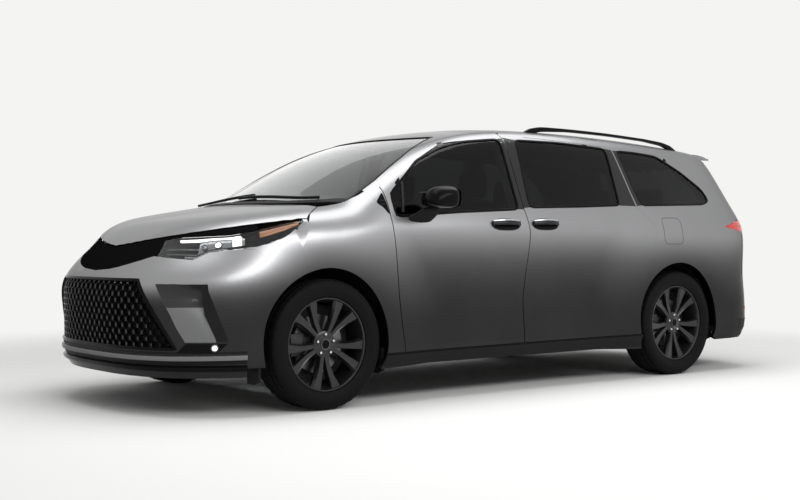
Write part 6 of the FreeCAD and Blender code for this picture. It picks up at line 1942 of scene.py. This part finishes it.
# Share of the half width and size of each section across a pad, from its middle outwards
PAD_ROWS = ((0, 1.015), (0.3, 1.01), (0.62, 0.975), (0.7, 1), (0.93, 0.93), (1, 0.80))
DASHBOARD = ((1118, 762), (1118, 1046), (1010, 1072), (860, 1050), (804, 1006), (836, 900),
             (878, 724))
CONSOLE = ((878, 720), (630, 640), (184, 600), (184, 390), (878, 390))
SCREEN = ((-130, 1000), (130, 1000), (130, 1120), (-130, 1120))
STEERING_HUB = ((0.5, -24), (40, -22), (54, -10), (54, 14), (0.5, 18))
SPOKE_REACH = ((20, 34), (80, 26), (176, 14))


@dataclass
class Cabin:
    """Padded seats, dashboard and steering wheel."""

    seat_height: float = 690.0
    cushion_length: float = 520.0
    cushion_depth: float = 140.0
    headrest_width: float = 250.0
    pad_rounding: float = 60.0
    pad_step: float = 70.0
    pad_fill: float = 0.6
    panel_half: float = 796.0
    panel_sweep: float = 30.0
    screen_x: Pair = (812.0, 828.0)
    column_lean: float = 26.0
    wheel_middle: tuple[float, float, float] = (735.0, 390.0, 960.0)
    wheel_radius: float = 182.0
    grip_radius: float = 14.0
    spoke_half: float = 8.0

    def build(self) -> None:
        """Makes the three rows and the driver's controls."""
        for node, front, middles, width, high in SEAT_ROWS:
            for middle in middles:
                self._seat(node, front, middle, width, high)
        self._dashboard()
        self._steering()

    def _pad(self, name: str, outline: Sequence[Pair], middle: float, width: float, node: str) -> None:
        """One padded form with its edges pulled in.

        Args:
            name: the pad's name.
            outline: its outline from the side.
            middle: its middle across the van.
            width: its width.
            node: the node that it stands for.
        """
        loop = densified(rounded(outline, self.pad_rounding, 4), self.pad_step)
        centre = loop.mean(0)
        rows = [(-share, size) for share, size in reversed(PAD_ROWS[1:])] + list(PAD_ROWS)
        sections = [upright(centre + (loop - centre) * size, middle + share * width / 2) for share,
                    size in rows]
        made = loft(name, sections, FABRIC, CHASSIS, levels=1)
        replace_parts(made, node)

    def _seat(self, node: str, front: float, middle: float, width: float, high: float) -> None:
        """Cushion, back and headrest of one place.

        Args:
            node: the node of its row.
            front: front edge of the cushion.
            middle: its middle across the van.
            width: its width.
            high: height of the back over the cushion.
        """
        rear, seat = front - self.cushion_length, self.seat_height
        low, top = seat - self.cushion_depth, seat + high
        key = f"{node}_{int(front)}_{int(middle)}".replace("-", "m")
        cushion = [(front, low), (front, seat - 24), (front - 70, seat), (rear + 30, seat - 30),
                   (rear + 30, low)]
        back = [(rear + 24, seat - 40), (rear - 118, top - 6), (rear - 250, top - 34), (rear - 104, low + 40)]
        head = [(rear - 152, top - 10), (rear - 178, top + 182), (rear - 226, top + 182),
                (rear - 226, top - 10)]
        self._pad("cushion_" + key, cushion, middle, width, node)
        self._pad("back_" + key, back, middle, width, node)
        self._pad("headrest_" + key, head, middle, self.headrest_width, node)

    def _dashboard(self) -> None:
        """Rounded instrument panel with a screen and centre console."""
        loop = densified(rounded(DASHBOARD, 40.0, 4), 60.0)
        sections = []
        for y in np.linspace(-self.panel_half, self.panel_half, 15):
            place = loop.copy()
            place[:, 0] += self.panel_sweep * (abs(y) / self.panel_half) ** 3 * (place[:, 0] < 900)
            sections.append(upright(place, y))
        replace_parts(loft("instrument_panel", sections, CABIN, CHASSIS, levels=0, smooth=40), "dashboard")
        loop = densified(rounded(CONSOLE, 40.0, 4), 60.0)
        sections = [upright(loop, y) for y in (-104, -96, 0, 96, 104)]
        loft("centre_console", sections, CABIN, CHASSIS, levels=0, smooth=40)
        screen = [np.array([(x, y, z) for y, z in SCREEN]) for x in self.screen_x]
        loft("centre_screen", screen, GLOSS_BLACK, CHASSIS, levels=0)

    def _steering(self) -> None:
        """Steering wheel with a padded rim, hub and three spokes."""
        lean = math.radians(self.column_lean)
        middle = np.array(self.wheel_middle)
        ahead = np.array([math.cos(lean), 0.0, -math.sin(lean)])
        up = np.array([math.sin(lean), 0.0, math.cos(lean)])
        side = np.array([0.0, 1.0, 0.0])
        axes = np.array([side, ahead, up])
        turn = full_turn(10)
        grip = np.stack([self.wheel_radius + self.grip_radius * np.cos(turn),
                         self.grip_radius * np.sin(turn)], -1)
        points, faces = lathe(grip, 60, (0, 0, 0))
        made = piece("steering_rim", points @ axes + middle, faces, CABIN, CHASSIS, smooth=60)
        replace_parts(made, "steering_wheel")
        thick = ahead * self.spoke_half
        for number, turn in enumerate((0.0, math.pi, -math.pi / 2)):
            out = side * math.cos(turn) + up * math.sin(turn)
            across = np.cross(out, ahead)
            sections = []
            for reach, half in SPOKE_REACH:
                base, wide = middle + out * reach, across * half
                sections.append(np.array([base + wide - thick, base - wide - thick, base - wide + thick,
                                          base + wide + thick]))
            loft(f"steering_spoke_{number}", sections, CABIN, CHASSIS, levels=0)
        points, faces = lathe(STEERING_HUB, 32, (0, 0, 0))
        piece("steering_hub", points @ axes + middle, faces, CABIN, CHASSIS, smooth=40)


# Place, target, width, depth and power of each soft lamp
SOFTBOXES = (((0, 0.3, 4.6), (0, 0, 0), 7.5, 2.6, 190), ((0.6, 6, 3.7), (0.2, 0.6, 0.8), 8, 1.6, 210),
             ((-1, -6.6, 4.6), (0, -0.6, 0.9), 9, 4, 55))


@dataclass
class Studio:
    """Camera at the photograph's viewing angle, plain floor and soft light."""

    place: tuple[float, float, float] = (5.5364, 6.6048, 0.9434)
    yaw: float = -128.375
    pitch: float = 0.315
    lens: float = 54.9
    sensor: float = 36.0
    far: float = 200.0
    white: float = 0.905
    dim: float = 0.42
    floor_reach: float = 40.0
    floor_colour: tuple[float, float, float, float] = (0.86, 0.86, 0.85, 1)
    fade_start: float = 3.2
    fade_end: float = 6.5

    def build(self) -> None:
        """Sets up the camera, the light and the floor."""
        self._camera()
        self._light()
        self._floor()

    def _camera(self) -> None:
        """Creates the camera and makes it the scene's own."""
        data = bpy.data.cameras.new("view")
        data.sensor_width = self.sensor
        data.lens = self.lens
        data.clip_end = self.far
        yaw, pitch = math.radians(self.yaw), math.radians(self.pitch)
        ahead = Vector((math.cos(yaw) * math.cos(pitch), math.sin(yaw) * math.cos(pitch), -math.sin(pitch)))
        bpy.context.scene.camera = self._aimed("view", data, self.place, ahead)

    @staticmethod
    def _aimed(name: str, data: bpy.types.ID, place: Sequence[float], ahead: Vector) -> bpy.types.Object:
        """Puts a camera or a lamp at a place and turns it to look along a direction."""
        made = bpy.data.objects.new(name, data)
        bpy.context.scene.collection.objects.link(made)
        made.location = place
        made.rotation_euler = ahead.to_track_quat("-Z", "Y").to_euler()
        return made

    def _light(self) -> None:
        """Soft lamps overhead and a world that is white to look at but lights the van more softly."""
        scene = bpy.context.scene
        scene.view_settings.view_transform = "Standard"
        for number, (place, target, wide, deep, power) in enumerate(SOFTBOXES):
            data = bpy.data.lights.new(f"softbox_{number}", "AREA")
            data.shape = "RECTANGLE"
            data.size, data.size_y, data.energy = wide, deep, power
            self._aimed(f"softbox_{number}", data, place, Vector(target) - Vector(place))
        scene.world = bpy.data.worlds.new("studio")
        scene.world.use_nodes = True
        tree = scene.world.node_tree
        tree.nodes.clear()
        ray = add_node(tree, "ShaderNodeLightPath").outputs
        bent = add_math(tree, "MAXIMUM", ray["Is Glossy Ray"], ray["Is Transmission Ray"])
        seen = add_math(tree, "MAXIMUM", ray["Is Camera Ray"], bent)
        soft = add_node(tree, "ShaderNodeBackground", {"Color": (self.dim, self.dim, self.dim, 1)})
        white = add_node(tree, "ShaderNodeBackground", {"Color": (self.white, self.white, self.white * 0.985,
                                                                  1)})
        mix = add_node(tree, "ShaderNodeMixShader", {"Fac": seen, 1: soft.outputs[0], 2: white.outputs[0]})
        add_node(tree, "ShaderNodeOutputWorld", {"Surface": mix.outputs[0]})

    def _floor(self) -> None:
        """Pale floor that keeps the van's shadow and fades into the world's white."""
        reach = self.floor_reach
        mesh = bpy.data.meshes.new("studio_floor")
        mesh.from_pydata([(-reach, -reach, 0), (reach, -reach, 0), (reach, reach, 0), (-reach, reach, 0)], [],
                         [(0, 1, 2, 3)])
        floor = bpy.data.objects.new("studio_floor", mesh)
        bpy.context.scene.collection.objects.link(floor)
        made = bpy.data.materials.new("pale_floor")
        made.use_nodes = True
        tree = made.node_tree
        shader = tree.nodes["Principled BSDF"]
        shader.inputs["Base Color"].default_value = self.floor_colour
        shader.inputs["Roughness"].default_value = 0.9
        shader.inputs["Specular IOR Level"].default_value = 0.0
        place = add_node(tree, "ShaderNodeTexCoord")
        distance = add_node(tree, "ShaderNodeVectorMath", {0: place.outputs["Object"]}, operation="LENGTH")
        faded = add_node(tree, "ShaderNodeMapRange",
                         {"Value": distance.outputs["Value"], "From Min": self.fade_start,
                          "From Max": self.fade_end},
                         interpolation_type="SMOOTHSTEP")
        clear = add_node(tree, "ShaderNodeBsdfTransparent")
        mix = add_node(tree, "ShaderNodeMixShader",
                       {"Fac": faded.outputs["Result"], 1: shader.outputs[0], 2: clear.outputs[0]})
        tree.links.new(mix.outputs[0], tree.nodes["Material Output"].inputs["Surface"])
        mesh.materials.append(made)


def dress_frame_nodes(nodes: dict) -> None:
    """Gives every carried-over CAD node its own finish.

    Args:
        nodes: the frame's nodes by name.
    """
    finishes = {"floor_pan": UNDER, "front_structure": MATTE_BLACK, "front_arch_liners": MATTE_BLACK,
                "front_subframe": CAST, "front_struts": CAST, "rear_axle": CAST, "engine_block": ENGINE,
                "fuel_tank": MATTE_BLACK, "exhaust": STEEL, "knuckle_left": CAST, "knuckle_right": CAST}
    for name, finish in finishes.items():
        node = nodes[name]
        node.data.materials.clear()
        node.data.materials.append(finish.material())


def main() -> None:
    """Builds the whole scene in order."""
    logging.basicConfig(level=logging.INFO, format="%(message)s")
    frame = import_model()
    nodes = frame["nodes"]
    repeater = Repeater()
    wheels = [Wheel(f"wheel_{end}_{side}", f"{end}_{side}", (x, sign * WHEEL_Y, AXLE_HEIGHT), sign, repeater)
              for end, x in (("front", FRONT_AXLE_X), ("rear", REAR_AXLE_X))
              for side, sign in zip(SIDES, (1.0, -1.0))]
    for part in (Studio(), Shell(nodes), SideTrim(), DoorMirrors(), FrontFace(repeater), RoofAndTail(),
                 *wheels, Cabin()):
        part.build()
        log.info("%s done", type(part).__name__)
    dress_frame_nodes(nodes)
    bpy.context.view_layer.update()


if __name__ == "__main__":
    main()
